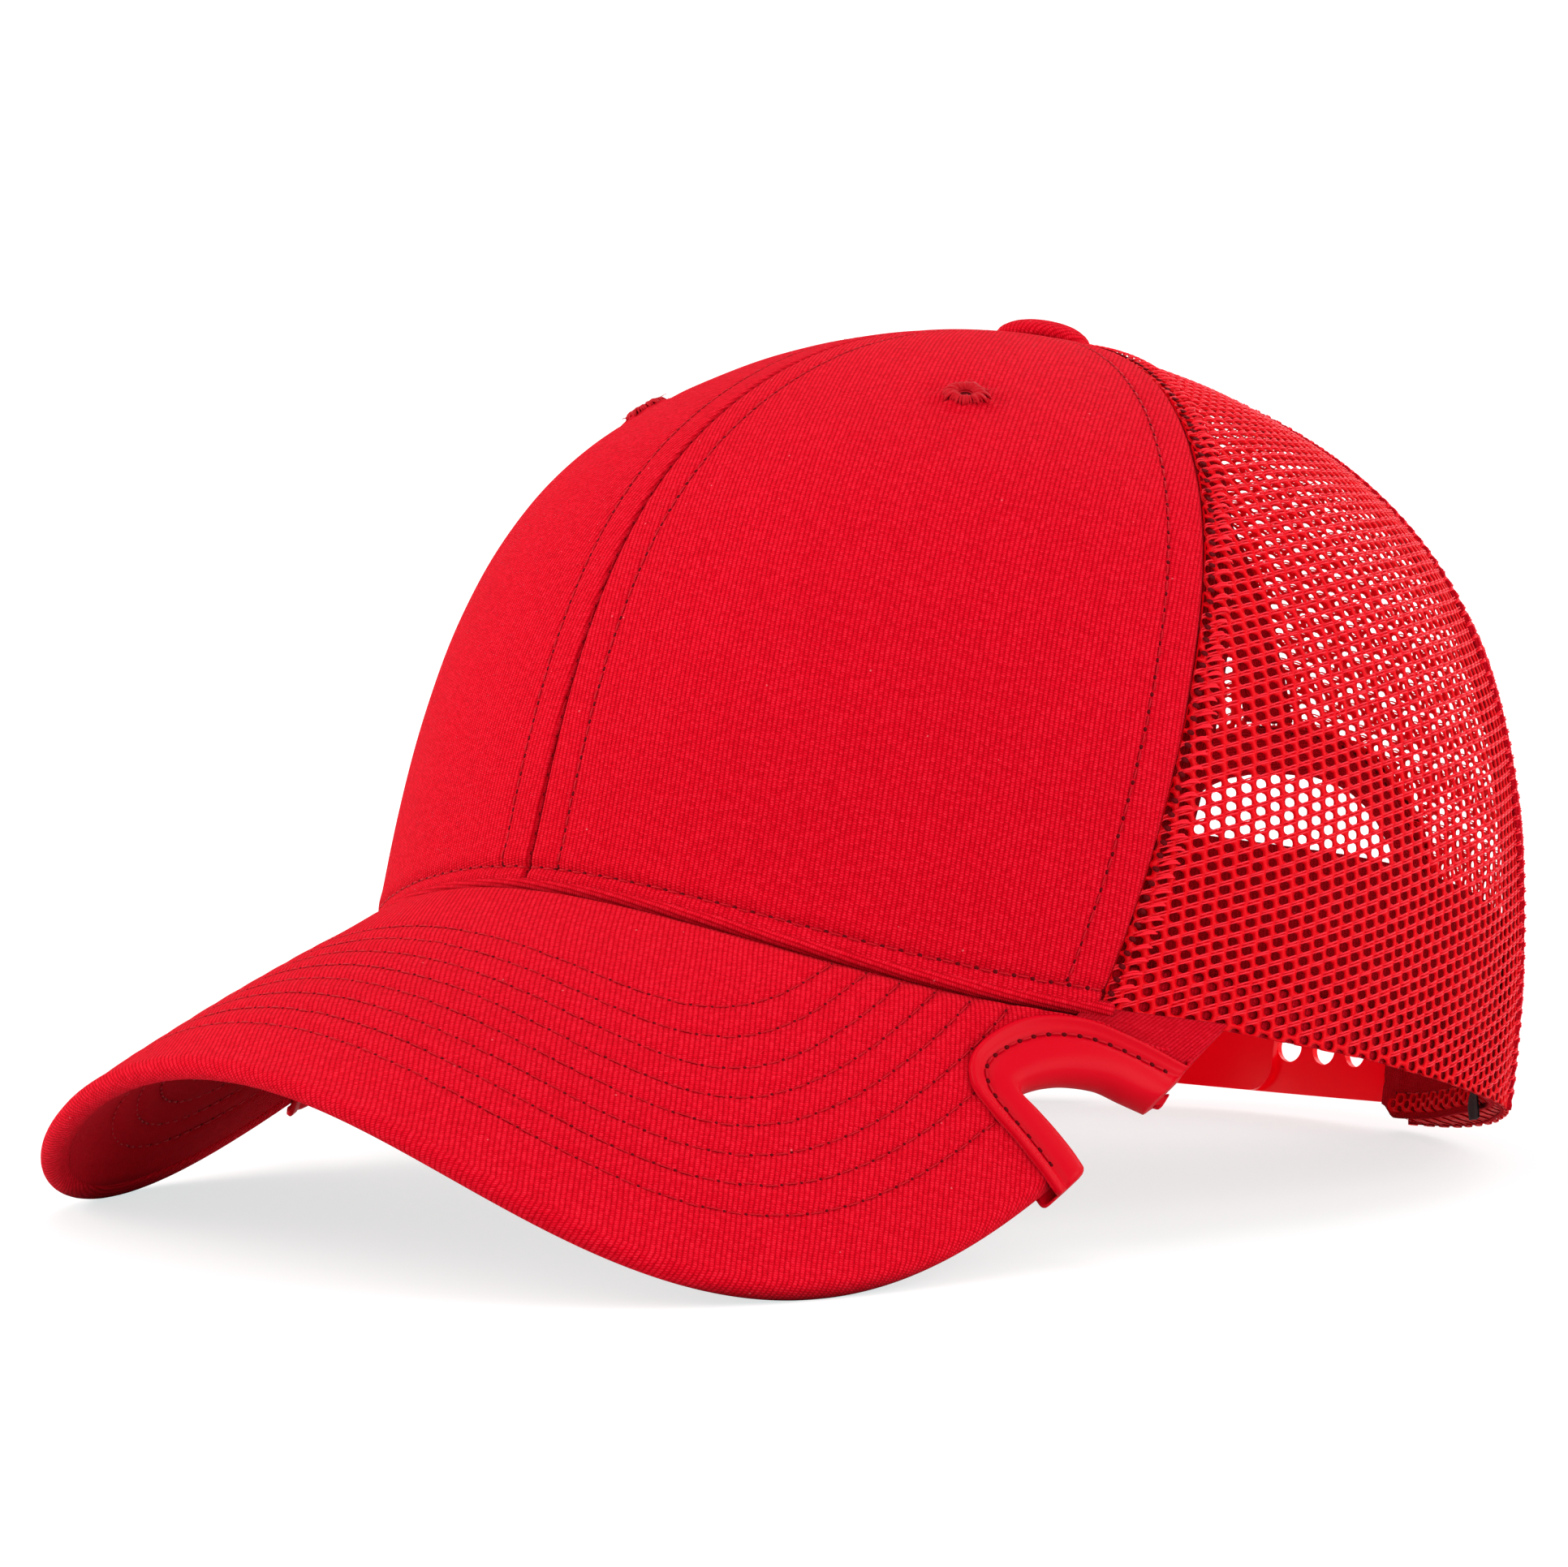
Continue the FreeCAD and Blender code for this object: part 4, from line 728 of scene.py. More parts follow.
class Cloth:
    """Flat panel coordinates, mm from its centre line and hem, laid on the crown."""
    def __init__(self, start_seam, end_seam):
        self.start_seam, self.end_seam, self.gap = start_seam, end_seam, 0.15
        rise = 1 - (1 - np.linspace(0, 1, 260)) ** LEVEL_POWER
        rise = rise[rise < float(rise_at_radius(90.0, 4.2))]
        start, end = start_seam(rise), end_seam(rise)
        middle = (start + end) / 2
        phi = start[:, None] - 2 + (end - start + 4)[:, None] * np.linspace(0, 1, 121)
        across = arc_length(crown(phi, rise[:, None] + 0 * phi), 1)
        self.rise, self.across = rise, np.arange(-62, 62.1, 1.0)
        self.phi = np.empty((len(rise), len(self.across)))
        self.start, self.end = np.empty(len(rise)), np.empty(len(rise))
        for k in range(len(rise)):
            offset = across[k] - np.interp(middle[k], phi[k], across[k])
            self.phi[k] = np.interp(self.across, offset, phi[k])
            self.start[k], self.end[k] = np.interp([start[k], end[k]], phi[k], offset)
        self.height = arc_length(crown(middle, rise))

    def place(self, across, height):
        """phi and rise of cloth points, kept between the seams."""
        height = np.clip(height, 0, self.height[-1])
        row = np.interp(height, self.height, np.arange(len(self.height)))
        column = np.clip(across - self.across[0], 0, len(self.across) - 1.001)
        phi = bilinear(self.phi, row, column)
        rise = np.interp(height, self.height, self.rise)
        margin = self.gap / degree_mm(phi, rise)
        return np.clip(phi, self.start_seam(rise) + margin, self.end_seam(rise) - margin), rise

    def inside(self, across, height, margin):
        height = np.clip(height, 0, self.height[-1])
        start = np.interp(height, self.height, self.start)
        end = np.interp(height, self.height, self.end)
        return (across > start + margin) & (across < end - margin)

    def net_points(self, flat, thickness):
        """Crown points of the net. The turned hem passes inside the sweatband."""
        phi, rise = self.place(flat[..., 0], np.abs(flat[..., 1]))
        points, normals = crown(phi, rise), crown_normal(phi, rise)
        inner = band_depth(phi) + 1.0 + 0.75
        fold = smooth(0.0, FOLD_HEIGHT, -flat[..., 1])
        depth = NET_MID + (inner - NET_MID) * fold
        droop = 0.5 * np.sin(np.pi * np.clip((depth - NET_MID) / (inner - NET_MID), 0, 1))
        waves = noise(points, 26.0, 11) * 0.28
        points = points - normals * (depth - thickness * np.cos(np.pi * fold) - waves)[..., None]
        points[..., 2] -= droop * 0.8
        return points


def arch_measure(points):
    """Below 1 inside the rear opening."""
    z = np.maximum(points[..., 2], 0.0)
    measure = ((np.abs(points[..., 0]) / ARCH_HALF_WIDTH) ** ARCH_POWER
               + (z / ARCH_HEIGHT) ** ARCH_POWER)
    return np.where(points[..., 1] > 20, measure, 9.0)


def net_cells(cloth, arched):
    """Centres of the hexagonal cells; arched leaves out the rear opening."""
    top = cloth.height[-1]
    columns, rows = int(60 / CELL_WIDTH) + 2, int(top / CELL_HEIGHT) + 2
    i, j = np.meshgrid(np.arange(-columns, columns + 1),
                       np.arange(int(NET_HEM / CELL_HEIGHT) - 1, rows), indexing="ij")
    across = (i * CELL_WIDTH).ravel()
    height = ((j + 0.5 * (i & 1)) * CELL_HEIGHT).ravel()
    keep = cloth.inside(across, height, -0.7) & (height > NET_HEM) & (height < top - 0.4)
    across, height = across[keep], height[keep]
    if arched:
        measure = arch_measure(crown(*cloth.place(across, np.abs(height))))
        keep = measure > np.where(height < 1.0, 1.40, 1.05)
        across, height = across[keep], height[keep]
    return np.stack([across, height], -1)


def cell_rings():
    """Twelve points round a cell's border, and round its hole."""
    wide, high = CELL_WIDTH, CELL_HEIGHT
    point = (wide * wide + high * high / 4) / (2 * wide)
    shoulder = (wide * wide - high * high / 4) / (2 * wide)
    corners = np.array([(point, 0), (shoulder, high / 2), (-shoulder, high / 2),
                        (-point, 0), (-shoulder, -high / 2), (shoulder, -high / 2)])
    border = []
    for k in range(6):
        first, second = corners[k], corners[(k + 1) % 6]
        border += [first, (first + second) / 2]
    border = np.array(border)
    angle = np.arctan2(border[:, 1], border[:, 0])
    angle = np.arctan2(np.sin(angle) / HOLE_HEIGHT, np.cos(angle) / HOLE_WIDTH)
    hole = np.stack([HOLE_WIDTH * signed_power(np.cos(angle), 2 / HOLE_POWER),
                     HOLE_HEIGHT * signed_power(np.sin(angle), 2 / HOLE_POWER)], -1)
    return border, hole


def net_mesh(cloth, cells):
    border, hole = cell_rings()
    count = len(cells)
    # uneven holes, as in a knitted net
    draw = np.random.default_rng(7)
    size = 1 + draw.normal(size=(count, 1, 1)) * 0.05
    shift = draw.normal(size=(count, 1, 2)) * 0.05
    inner = cells[:, None] + hole[None] * size + shift
    outer = (cells[:, None] + border[None]).reshape(-1, 2)
    # border points shared by neighbouring cells become one
    key = np.round(outer * 1000).astype(np.int64)
    key = np.round(key / 20.0).astype(np.int64)
    unique, shared = np.unique(key, axis=0, return_inverse=True)
    shared = np.asarray(shared).reshape(-1)
    pick = np.zeros(len(unique), np.int64)
    pick[shared] = np.arange(len(shared))
    outer = outer[pick]
    crest = 0.22 + 0.04 * np.sin(outer[:, 0] * 2.3) + draw.normal(size=len(outer)) * 0.02
    rim = cloth.net_points(inner, 0.0 * inner[..., 0]).reshape(-1, 3)
    points = to_world(np.concatenate([rim, cloth.net_points(outer, crest),
                                      cloth.net_points(outer, -crest)]))
    front = len(rim) + shared.reshape(count, 12)
    rear = front + len(outer)
    rim = np.arange(len(rim)).reshape(count, 12)
    next_front, next_rear, next_rim = (np.roll(ids, -1, 1) for ids in (front, rear, rim))
    faces = np.concatenate([
        np.stack([rim, front, next_front, next_rim], -1).reshape(-1, 4),
        np.stack([next_rim, next_rear, rear, rim], -1).reshape(-1, 4)])
    # drop faces squeezed to nothing at a seam
    area = np.cross(points[faces[:, 2]] - points[faces[:, 0]],
                    points[faces[:, 3]] - points[faces[:, 1]])
    faces = faces[np.linalg.norm(area, axis=-1) > 0.012]
    used = np.unique(faces)
    renumber = np.full(len(points), -1)
    renumber[used] = np.arange(len(used))
    return points[used], [renumber[faces]]


def net_loops(cloth, cells):
    """Filament loops that lie over the bars between holes."""
    draw = np.random.default_rng(3)
    bars = cells[cells[:, 1] > 0.6]
    bars = bars[cloth.inside(bars[:, 0], bars[:, 1] + CELL_HEIGHT / 2, 0.5)]
    count = len(bars)
    part = np.linspace(-1, 1, 5)[None]
    paths = []
    # offset up the cloth, half length, height above it
    for offset, half, height in ((-0.20, 1.45, 0.34), (0.22, 1.30, 0.38)):
        x = bars[:, :1] + part * half + draw.normal(size=(count, 1)) * 0.05
        y = bars[:, 1:] + CELL_HEIGHT / 2 + offset + part * 0.52 + 0.07 * (1 - part ** 2)
        y = y + draw.normal(size=(count, 1)) * 0.04
        height = height - 0.30 * np.abs(part) ** 3 + 0 * x
        paths.append(to_world(cloth.net_points(np.stack([x, y], -1), height)))
    paths = np.concatenate(paths)
    x, y, z = np.moveaxis(paths, -1, 0)
    outward = unit(np.stack([x, (y - 22) * 0.8, (z - 55) * 0.9], -1))
    return tubes(paths, [0.09, 0.14, 0.155, 0.14, 0.09], 4, 0.8, outward)


def net_panels():
    for base, cloth in (("side", Cloth(front_seam, rear_seam)),
                        ("rear", Cloth(rear_seam, rear_centre))):
        cells = net_cells(cloth, arched=base == "rear")
        net, loops = net_mesh(cloth, cells), net_loops(cloth, cells)
        for suffix, side in SIDES:
            add_side_mesh(base + "_net" + suffix, side, *net, NET, "mesh",
                          base + "_mesh" + suffix)
            add_side_mesh(base + "_net_loops" + suffix, side, *loops, LOOP_WITH_PAINTED_HIGHLIGHT, "mesh")


# ============================================================ seams of the crown
WHIP_PITCH = 2.15


def seam_rises(start, end, count):
    return start + (end - start) * (1 - (1 - np.linspace(0, 1, count)) ** 1.5)


def seam_curve(seam, offset, start, end, count, depth=0.0):
    rise = seam_rises(start, end, count)
    phi = seam(rise)
    return on_crown(phi + offset / degree_mm(phi, rise), rise, depth)


def whip(bag, seam, near, far, start, end, slant, radius, hole=0.0):
    """Overlock threads across a seam from near to far mm beside it, on both sides of the cap."""
    run = arc_length(seam_curve(seam, 0.0, start, end, 400)[0])
    rises = seam_rises(start, end, 400)
    count = int(run[-1] / WHIP_PITCH)
    draw = np.random.default_rng(count)
    centre = (np.arange(count) + 0.5) * WHIP_PITCH + draw.normal(size=count) * 0.1
    part = np.linspace(0, 1, 7)
    height = 0.34 * (1 - (2 * part - 1) ** 4) - 0.30 * ((2 * part - 1) ** 4)
    taper = np.array([.7, .95, 1, 1, 1, .95, .7])
    # a long thread and a thinner, shorter one beside it
    for first, last, lean, thick, shift in (
            (near, far, slant, radius, 0.0),
            (near + 0.7, far - 0.5, slant * 0.6, radius * 0.8, 0.55)):
        offset = first + (last - first) * part + draw.normal(size=(count, 1)) * 0.12
        along = centre[:, None] + lean * part + shift + 0.25 * np.sin(part * np.pi)
        rise = np.interp(along, run, rises)
        phi = seam(rise)
        path, up = on_crown(phi + offset / degree_mm(phi, rise), rise, -(height + 0 * offset))
        for suffix, side in SIDES:
            bag.add(*tubes(to_side(side, path), thick * taper, 5, 0.8, to_side(side, up)))
    if hole:
        rise = np.interp(centre - 0.5, run, rises)
        phi = seam(rise)
        phi = phi + (near - 0.25) / degree_mm(phi, rise)
        place, up = on_crown(phi, rise, -0.10 + 0 * rise)
        beyond = rise + 1e-3
        further, _ = on_crown(seam(beyond) + (near - 0.25) / degree_mm(phi, rise), beyond,
                              -0.10 + 0 * rise)
        ahead = unit(further - place)
        aside = unit(np.cross(up, ahead))
        for suffix, side in SIDES:
            cut_holes(*(to_side(side, item) for item in (place, place - up * 0.5, ahead, aside)),
                      hole, hole * 1.5, 8)


def overlock():
    bag = Pieces()
    whip(bag, front_seam, 1.3, 4.7, 0.005, 0.985, slant=0.9, radius=0.21, hole=0.42)
    for seam, near, far, start in ((rear_seam, -3.4, -0.7, 0.01), (rear_seam, 0.7, 3.4, 0.01),
                                   (rear_centre, -3.4, -0.7, 0.60)):
        whip(bag, seam, near, far, start, 0.97, slant=0.7, radius=0.17)
    bag.build("overlock_threads", WHIP, "mesh")


def seam_fold(name, seam, start, sides):
    """Folded seam allowance: a low rounded strip over the seam."""
    count, half, height = 240, 0.8, 0.85
    end = 0.985
    run = arc_length(seam_curve(seam, 0.0, start, end, count)[0])
    across = np.linspace(-1, 1, 9)
    outer, inner = [], []
    for x in across:
        line, up = seam_curve(seam, x * half, start, end, count)
        ripple = 0.10 * np.sin(run * 2 * np.pi / WHIP_PITCH + x * 1.5) * (1 - x * x)
        outer.append(line + up * (height * (1 - abs(x) ** 2.2) - 0.45 + ripple)[:, None])
        inner.append(seam_curve(seam, x * half, start, end, count, 1.0)[0])
    add_sheets(name, np.stack(outer), np.stack(inner), TAPE,
               plane_uv(across * half, run), sides=sides)


def seam_tape(name, seam, start, end, replaces, sides):
    """Tape over the inside of a seam, with a stitch row along each edge."""
    across = np.linspace(-1, 1, 9)
    half = 6.0
    lines = [seam_curve(seam, x * half, start, end, 120, 1.75) for x in across]
    run = arc_length(lines[0][0])
    outer, inner = [], []
    for x, (line, up) in zip(across, lines):
        puff = 0.10 * np.cos(x * 4.0) + 0.10 * np.sin(run / 5.0 + 2 * x)
        outer.append(line - up * 0.02)
        inner.append(line - up * (0.42 + 0.12 * (1 - abs(x)) + 0.15 * np.maximum(puff, 0))[:, None])
    outer, inner = np.stack(outer), np.stack(inner)
    add_sheets(name, outer, inner, TAPE, plane_uv(across * half, run), replaces, sides)
    for suffix, side in sides:
        for edge in (1, -2):
            normals = unit(inner[edge] - outer[edge])
            stitch(to_side(side, inner[edge][2:-2]), to_side(side, normals[2:-2]),
                   length=2.3, radius=0.15, hole=0.0)


def seam_strips():
    seam_fold("rear_seam_fold", rear_seam, 0.0, SIDES)
    seam_fold("rear_centre_fold", rear_centre, 0.585, MIDDLE)
    top = float(rise_at_radius(0.0, 16.0))
    above_arch = float(rise_at_height(180.0, 70.2))
    for name, seam, start, replaces, sides in (
            ("centre_seam_tape", front_centre, 0.01, "front_center_tape", MIDDLE),
            ("front_mesh_seam_tape", front_seam, 0.01, "side_seam_tape", SIDES),
            ("rear_mesh_seam_tape", rear_seam, 0.01, "rear_seam_tape", SIDES),
            ("rear_centre_seam_tape", rear_centre, above_arch, "rear_center_tape", MIDDLE)):
        seam_tape(name, seam, start, top, replaces, sides)


# ============================================================ sweatband
BAND_END = float(bisect(lambda phi: crown(phi, 0.08)[..., 0] > ARCH_HALF_WIDTH + 1.0,
                        110.0, 180.0, 40))


def sweatband():
    columns = 26
    phi, part = np.meshgrid(np.linspace(-BAND_END, BAND_END, 420), np.linspace(0, 1, columns),
                            indexing="ij")
    to_end = (BAND_END - np.abs(phi)) * 1.6
    height = 0.6 + BAND_HEIGHT * part + 2.4 * smooth(5.0, 0.0, to_end) * (1 - part)
    rise = rise_above_hem(phi, height)
    around = np.radians(phi) * 92.0
    # long waves, and finer ones along the upper edge
    wave = 0.20 * np.sin(around / 7.0 + 1.3 * np.sin(around / 19.0)) * np.sin(np.pi * part)
    wave = wave + 0.12 * np.sin(around / 2.9) * bell(part - 0.97, 0.1)
    # puckers near the two ends
    pucker = (0.75 * bell(to_end - 6.5, 1.1) + 0.55 * bell(to_end - 13.0, 1.5)
              - 0.55 * bell(to_end - 9.5, 1.6))
    wave = wave - pucker * smooth(0.12, 0.4, part) * smooth(1.0, 0.75, part)
    # swollen upper edge and two stitch grooves
    fold = (0.22 * bell((part - 0.97) * BAND_HEIGHT, 1.2)
            - 0.18 * bell((part - 0.86) * BAND_HEIGHT, 0.7)
            - 0.2 * bell((part - 0.16) * BAND_HEIGHT, 0.7))
    depth = band_depth(phi)
    outer, _ = on_crown(phi, rise, depth + 0.05 - 0.08 * wave)
    inner, normals = on_crown(phi, rise, depth + 0.92 + fold - wave)
    add_sheets("sweatband_cloth", outer, inner, BAND_TWILL,
               np.stack([around, BAND_HEIGHT * part], -1), "sweatband", MIDDLE)
    for row in (0.86, 0.16):
        j = int(row * (columns - 1))
        stitch(inner[4:-4, j], -normals[4:-4, j], length=2.4)


def net_hem_tapes():
    phi, height = np.meshgrid(np.linspace(front_seam(0.0) - 1.0, BAND_END, 160),
                              np.linspace(0.15, 7.5, 9), indexing="ij")
    rise = rise_above_hem(phi, height)
    outer, _ = on_crown(phi, rise, 1.02 + 0 * phi)
    inner, _ = on_crown(phi, rise, np.minimum(band_depth(phi) - 0.12, 1.6 + 0 * phi))
    add_sheets("mesh_hem_tape", outer, inner, TAPE, np.stack([phi * 1.55, height], -1))


# ============================================================ rear opening binding
def arch_point(angle):
    """Sideways place and height on the arch, 0 degrees at the +X foot, 180 at the -X foot."""
    cos, sin = np.cos(np.radians(angle)), np.abs(np.sin(np.radians(angle)))
    power = 2 / ARCH_POWER
    return ARCH_HALF_WIDTH * signed_power(cos, power), ARCH_HEIGHT * sin ** power


def on_rear(x, z, depth):
    """World point on the rear of the crown at this x and z of the cap frame."""
    phi = np.full(np.shape(x), 180.0)
    for k in range(14):
        rise = rise_at_height(phi, z)
        phi = phi + (crown(phi, rise)[..., 0] - x) / degree_mm(phi, rise)
    return on_crown(phi, rise_at_height(phi, z), depth)[0]


def arch_binding():
    """Tape folded over the rim of the rear opening."""
    angle = np.sort(90.0 - 89.2 * np.cos(np.linspace(0, np.pi, 150)))
    x, z = arch_point(angle)
    x_after, z_after = arch_point(angle + 0.4)
    x_before, z_before = arch_point(angle - 0.4)
    length = np.hypot(x_after - x_before, z_after - z_before)
    out_x, out_z = (z_after - z_before) / length, -(x_after - x_before) / length
    inward = out_x * x + out_z * (z + 5) < 0
    out_x, out_z = np.where(inward, -out_x, out_x), np.where(inward, -out_z, out_z)
    # distance from the rim and angle round the fold: outer leg, fold, inner leg
    leg = (7.0, 6.2, 5.2, 4.0, 2.6, 1.2)
    section = [(inset, 0) for inset in leg] + [(0, turn) for turn in range(0, 181, 30)]
    section += [(inset, 180) for inset in leg[::-1]]
    lumps = 0.05 * np.sin(angle * 0.9) + 0.04 * np.sin(angle * 2.3 + 1)
    outer, inner = [], []
    for inset, turn in section:
        puff = 0.10 * bell(inset - 3.9, 1.6) - 0.12 * bell(inset - 6.0, 0.5) if inset else 0.05
        edge = 0.10 * (inset > 6.9)
        for layer, radius in ((outer, 1.12 + puff - edge), (inner, 0.60)):
            away = inset - (radius + lumps) * math.sin(math.radians(turn))
            depth = NET_MID - (radius + lumps) * math.cos(math.radians(turn))
            layer.append(on_rear(x + out_x * away, z + out_z * away, depth))
    outer, inner = np.stack(outer, 1), np.stack(inner, 1)
    uv = arc_uv(outer.transpose(1, 0, 2)).transpose(1, 0, 2)
    add_sheets("arch_binding_tape", outer, inner, TAPE, uv, "rear_opening_binding",
               MIDDLE)
    for column in (1, 17):
        line = outer[:, column]
        stitch(line[3:-3], unit(line - inner[:, column])[3:-3], length=2.2)


# ============================================================ visor form
# A place on the visor is (turn, out): turn -1 to 1 from the -X to the +X end, out 0 at the
# root and 1 at the edge. Flattened, it is (aside, ahead) in mm.
VISOR_PITCH = math.radians(37.78)
VISOR_UP = np.array([0, -math.sin(VISOR_PITCH), math.cos(VISOR_PITCH)])
VISOR_AHEAD = np.array([0, -math.cos(VISOR_PITCH), -math.sin(VISOR_PITCH)])
VISOR_ORIGIN = crown(0.0, 0.0) + np.array([0, 0, 5.50])
VISOR_END_PHI = 62.0
CURVE_2, CURVE_4 = 0.007375, 6.394e-8          # drop of the arched visor: x^2 and x^4 terms
OUTLINE_HALF_WIDTH, OUTLINE_FRONT, OUTLINE_REAR = 80.21, 66.99, 29.69
OUTLINE_X_POWER, OUTLINE_AHEAD_POWER = 4.3745, 3.7669
OUTLINE_END = -38.0


def drop_at(x):
    return CURVE_2 * x * x + CURVE_4 * x ** 4


ARC_X = np.linspace(0, 135, 5401)
_stretch = np.sqrt(1 + (2 * CURVE_2 * ARC_X + 4 * CURVE_4 * ARC_X ** 3) ** 2)
ARC_RUN = np.concatenate([[0], np.cumsum(0.5 * (_stretch[1:] + _stretch[:-1]) * np.diff(ARC_X))])


def arc_from_x(x):
    return np.sign(x) * np.interp(np.abs(x), ARC_X, ARC_RUN)


def x_from_arc(arc):
    return np.sign(arc) * np.interp(np.abs(arc), ARC_RUN, ARC_X)


def arched(aside, ahead):
    x = x_from_arc(aside)
    return (VISOR_ORIGIN + np.asarray(ahead)[..., None] * VISOR_AHEAD
            - drop_at(x)[..., None] * VISOR_UP + x[..., None] * np.array([1.0, 0, 0]))


def visor_outline():
    """+X half of the outline, flattened, and the fraction of its length at each point."""
    angle = np.radians(90.98 * (1 - (1 - np.linspace(0, 1, 3001)) ** 2.2))
    x = OUTLINE_HALF_WIDTH * signed_power(np.sin(angle), 2 / OUTLINE_X_POWER)
    ahead = -OUTLINE_REAR + (OUTLINE_FRONT + OUTLINE_REAR) * signed_power(
        np.cos(angle), 2 / OUTLINE_AHEAD_POWER)
    keep = ahead >= OUTLINE_END
    aside, ahead = arc_from_x(x[keep]), ahead[keep]
    run = arc_length(np.stack([aside, ahead], -1))
    return aside, ahead, run / run[-1]


OUTLINE_ASIDE, OUTLINE_AHEAD, OUTLINE_RUN = visor_outline()


def visor_ends(turn):
    """Root and edge, flattened, and how far the root lies above the arched form."""
    edge_aside = np.sign(turn) * np.interp(np.abs(turn), OUTLINE_RUN, OUTLINE_ASIDE)
    edge_ahead = np.interp(np.abs(turn), OUTLINE_RUN, OUTLINE_AHEAD)
    root = crown(VISOR_END_PHI * turn, 0 * turn)
    offset = root - VISOR_ORIGIN
    lift = offset @ VISOR_UP + drop_at(root[..., 0])
    return arc_from_x(root[..., 0]), offset @ VISOR_AHEAD, lift, edge_aside, edge_ahead


def flatten(turn, out):
    aside, ahead, _, edge_aside, edge_ahead = visor_ends(turn)
    return aside + (edge_aside - aside) * out, ahead + (edge_ahead - ahead) * out


def visor_within(turn, out):
    lift = visor_ends(turn)[2]
    return arched(*flatten(turn, out)) + (lift * (1 - out) ** 2)[..., None] * VISOR_UP


def visor(turn, out):
    """Middle surface of the visor; carried on straight beyond its two ends."""
    turn, out = np.broadcast_arrays(np.asarray(turn, float), np.asarray(out, float))
    within = np.clip(turn, -1, 1)
    over = turn - within
    points = visor_within(within, out)
    before = visor_within(within - np.sign(over) * 0.012, out)
    return points + (np.abs(over) / 0.012)[..., None] * (points - before)


def visor_length(turn):
    aside, ahead, _, edge_aside, edge_ahead = visor_ends(turn)
    return np.hypot(edge_aside - aside, edge_ahead - ahead)


def visor_normal(turn, out):
    turn, out = np.broadcast_arrays(np.asarray(turn, float), np.asarray(out, float))
    step = 0.004
    normals = unit(np.cross(visor(turn + step, out) - visor(turn - step, out),
                            visor(turn, out + step) - visor(turn, out - step)))
    return np.where((normals @ VISOR_UP)[..., None] < 0, -normals, normals)


# Temple notch on the +X side: centre and two axes, forward and outward, both falling
NOTCH_CENTRE = np.array([74.12, -64.71, -15.87])
NOTCH_FORWARD = np.array([-0.0548, -0.7632, -0.6439])
NOTCH_OUTWARD = np.array([0.6026, 0.4889, -0.6308])
# forward, outward: lip of the opening, and outer edge of the rubber trim
OPENING = np.array([
    (-15.4, 11.3), (-13.2, 8.0), (-10.3, 3.6), (-6.1, -0.2), (-2.2, -2.5), (1.6, -3.8),
    (4.0, -3.9), (5.0, -2.6), (5.2, 0.8), (5.4, 4.4), (5.8, 8.0), (6.4, 11.3)])
TRIM_EDGE = np.array([
    (-23.4, 11.3), (-20.6, 6.6), (-17.0, 1.2), (-12.6, -4.6), (-6.6, -9.0), (-0.4, -10.7),
    (5.6, -10.4), (9.4, -7.4), (10.5, -2.6), (10.8, 2.8), (11.2, 7.2), (11.8, 11.3)])
TRIM_STATIONS = 121


def in_notch(turn, out):
    offset = visor(turn, out) - NOTCH_CENTRE
    return offset @ NOTCH_FORWARD, offset @ NOTCH_OUTWARD


def from_notch(line):
    """Visor places of (forward, outward) points, by Newton steps."""
    forward, outward = line[:, 0], line[:, 1]
    turn, out = np.full(len(line), 0.8), np.full(len(line), 0.5)
    step = 1e-4
    for k in range(16):
        here_f, here_o = in_notch(turn, out)
        turned_f, turned_o = in_notch(turn + step, out)
        moved_f, moved_o = in_notch(turn, out + step)
        f_turn, f_out = (turned_f - here_f) / step, (moved_f - here_f) / step
        o_turn, o_out = (turned_o - here_o) / step, (moved_o - here_o) / step
        det = f_turn * o_out - f_out * o_turn
        miss_f, miss_o = forward - here_f, outward - here_o
        by_turn = (miss_f * o_out - miss_o * f_out) / det
        by_out = (f_turn * miss_o - o_turn * miss_f) / det
        most = np.maximum(np.maximum(np.abs(by_turn), np.abs(by_out)), 1e-9)
        damp = np.minimum(1.0, 0.2 / most)
        turn, out = np.minimum(turn + by_turn * damp, 1.25), out + by_out * damp
    return turn, out


def smooth_line(points, count):
    """Catmull-Rom curve through points, resampled evenly."""
    ends = [2 * points[0] - points[1]], [2 * points[-1] - points[-2]]
    knots = np.concatenate([ends[0], points, ends[1]])
    curve = []
    for k in range(1, len(knots) - 2):
        before, here, after, beyond = knots[k - 1:k + 3]
        for x in np.linspace(0, 1, 24, endpoint=False):
            curve.append(0.5 * (2 * here + (after - before) * x
                                + (2 * before - 5 * here + 4 * after - beyond) * x * x
                                + (-before + 3 * here - 3 * after + beyond) * x ** 3))
    curve = np.array(curve + [knots[-2]])
    run = arc_length(curve)
    return sample(np.linspace(0, run[-1], count), run, curve)


OPEN_LINE, TRIM_LINE = smooth_line(OPENING, TRIM_STATIONS), smooth_line(TRIM_EDGE, TRIM_STATIONS)
TRIM_WIDTH = TRIM_LINE - OPEN_LINE


def round_corners(points):
    """Three rounds of Chaikin's corner cutting."""
    for k in range(3):
        first, second = points[:-1], points[1:]
        cut = np.stack([first * 0.75 + second * 0.25, first * 0.25 + second * 0.75], 1)
        points = np.concatenate([points[:1], cut.reshape(-1, 2), points[-1:]])
    return points


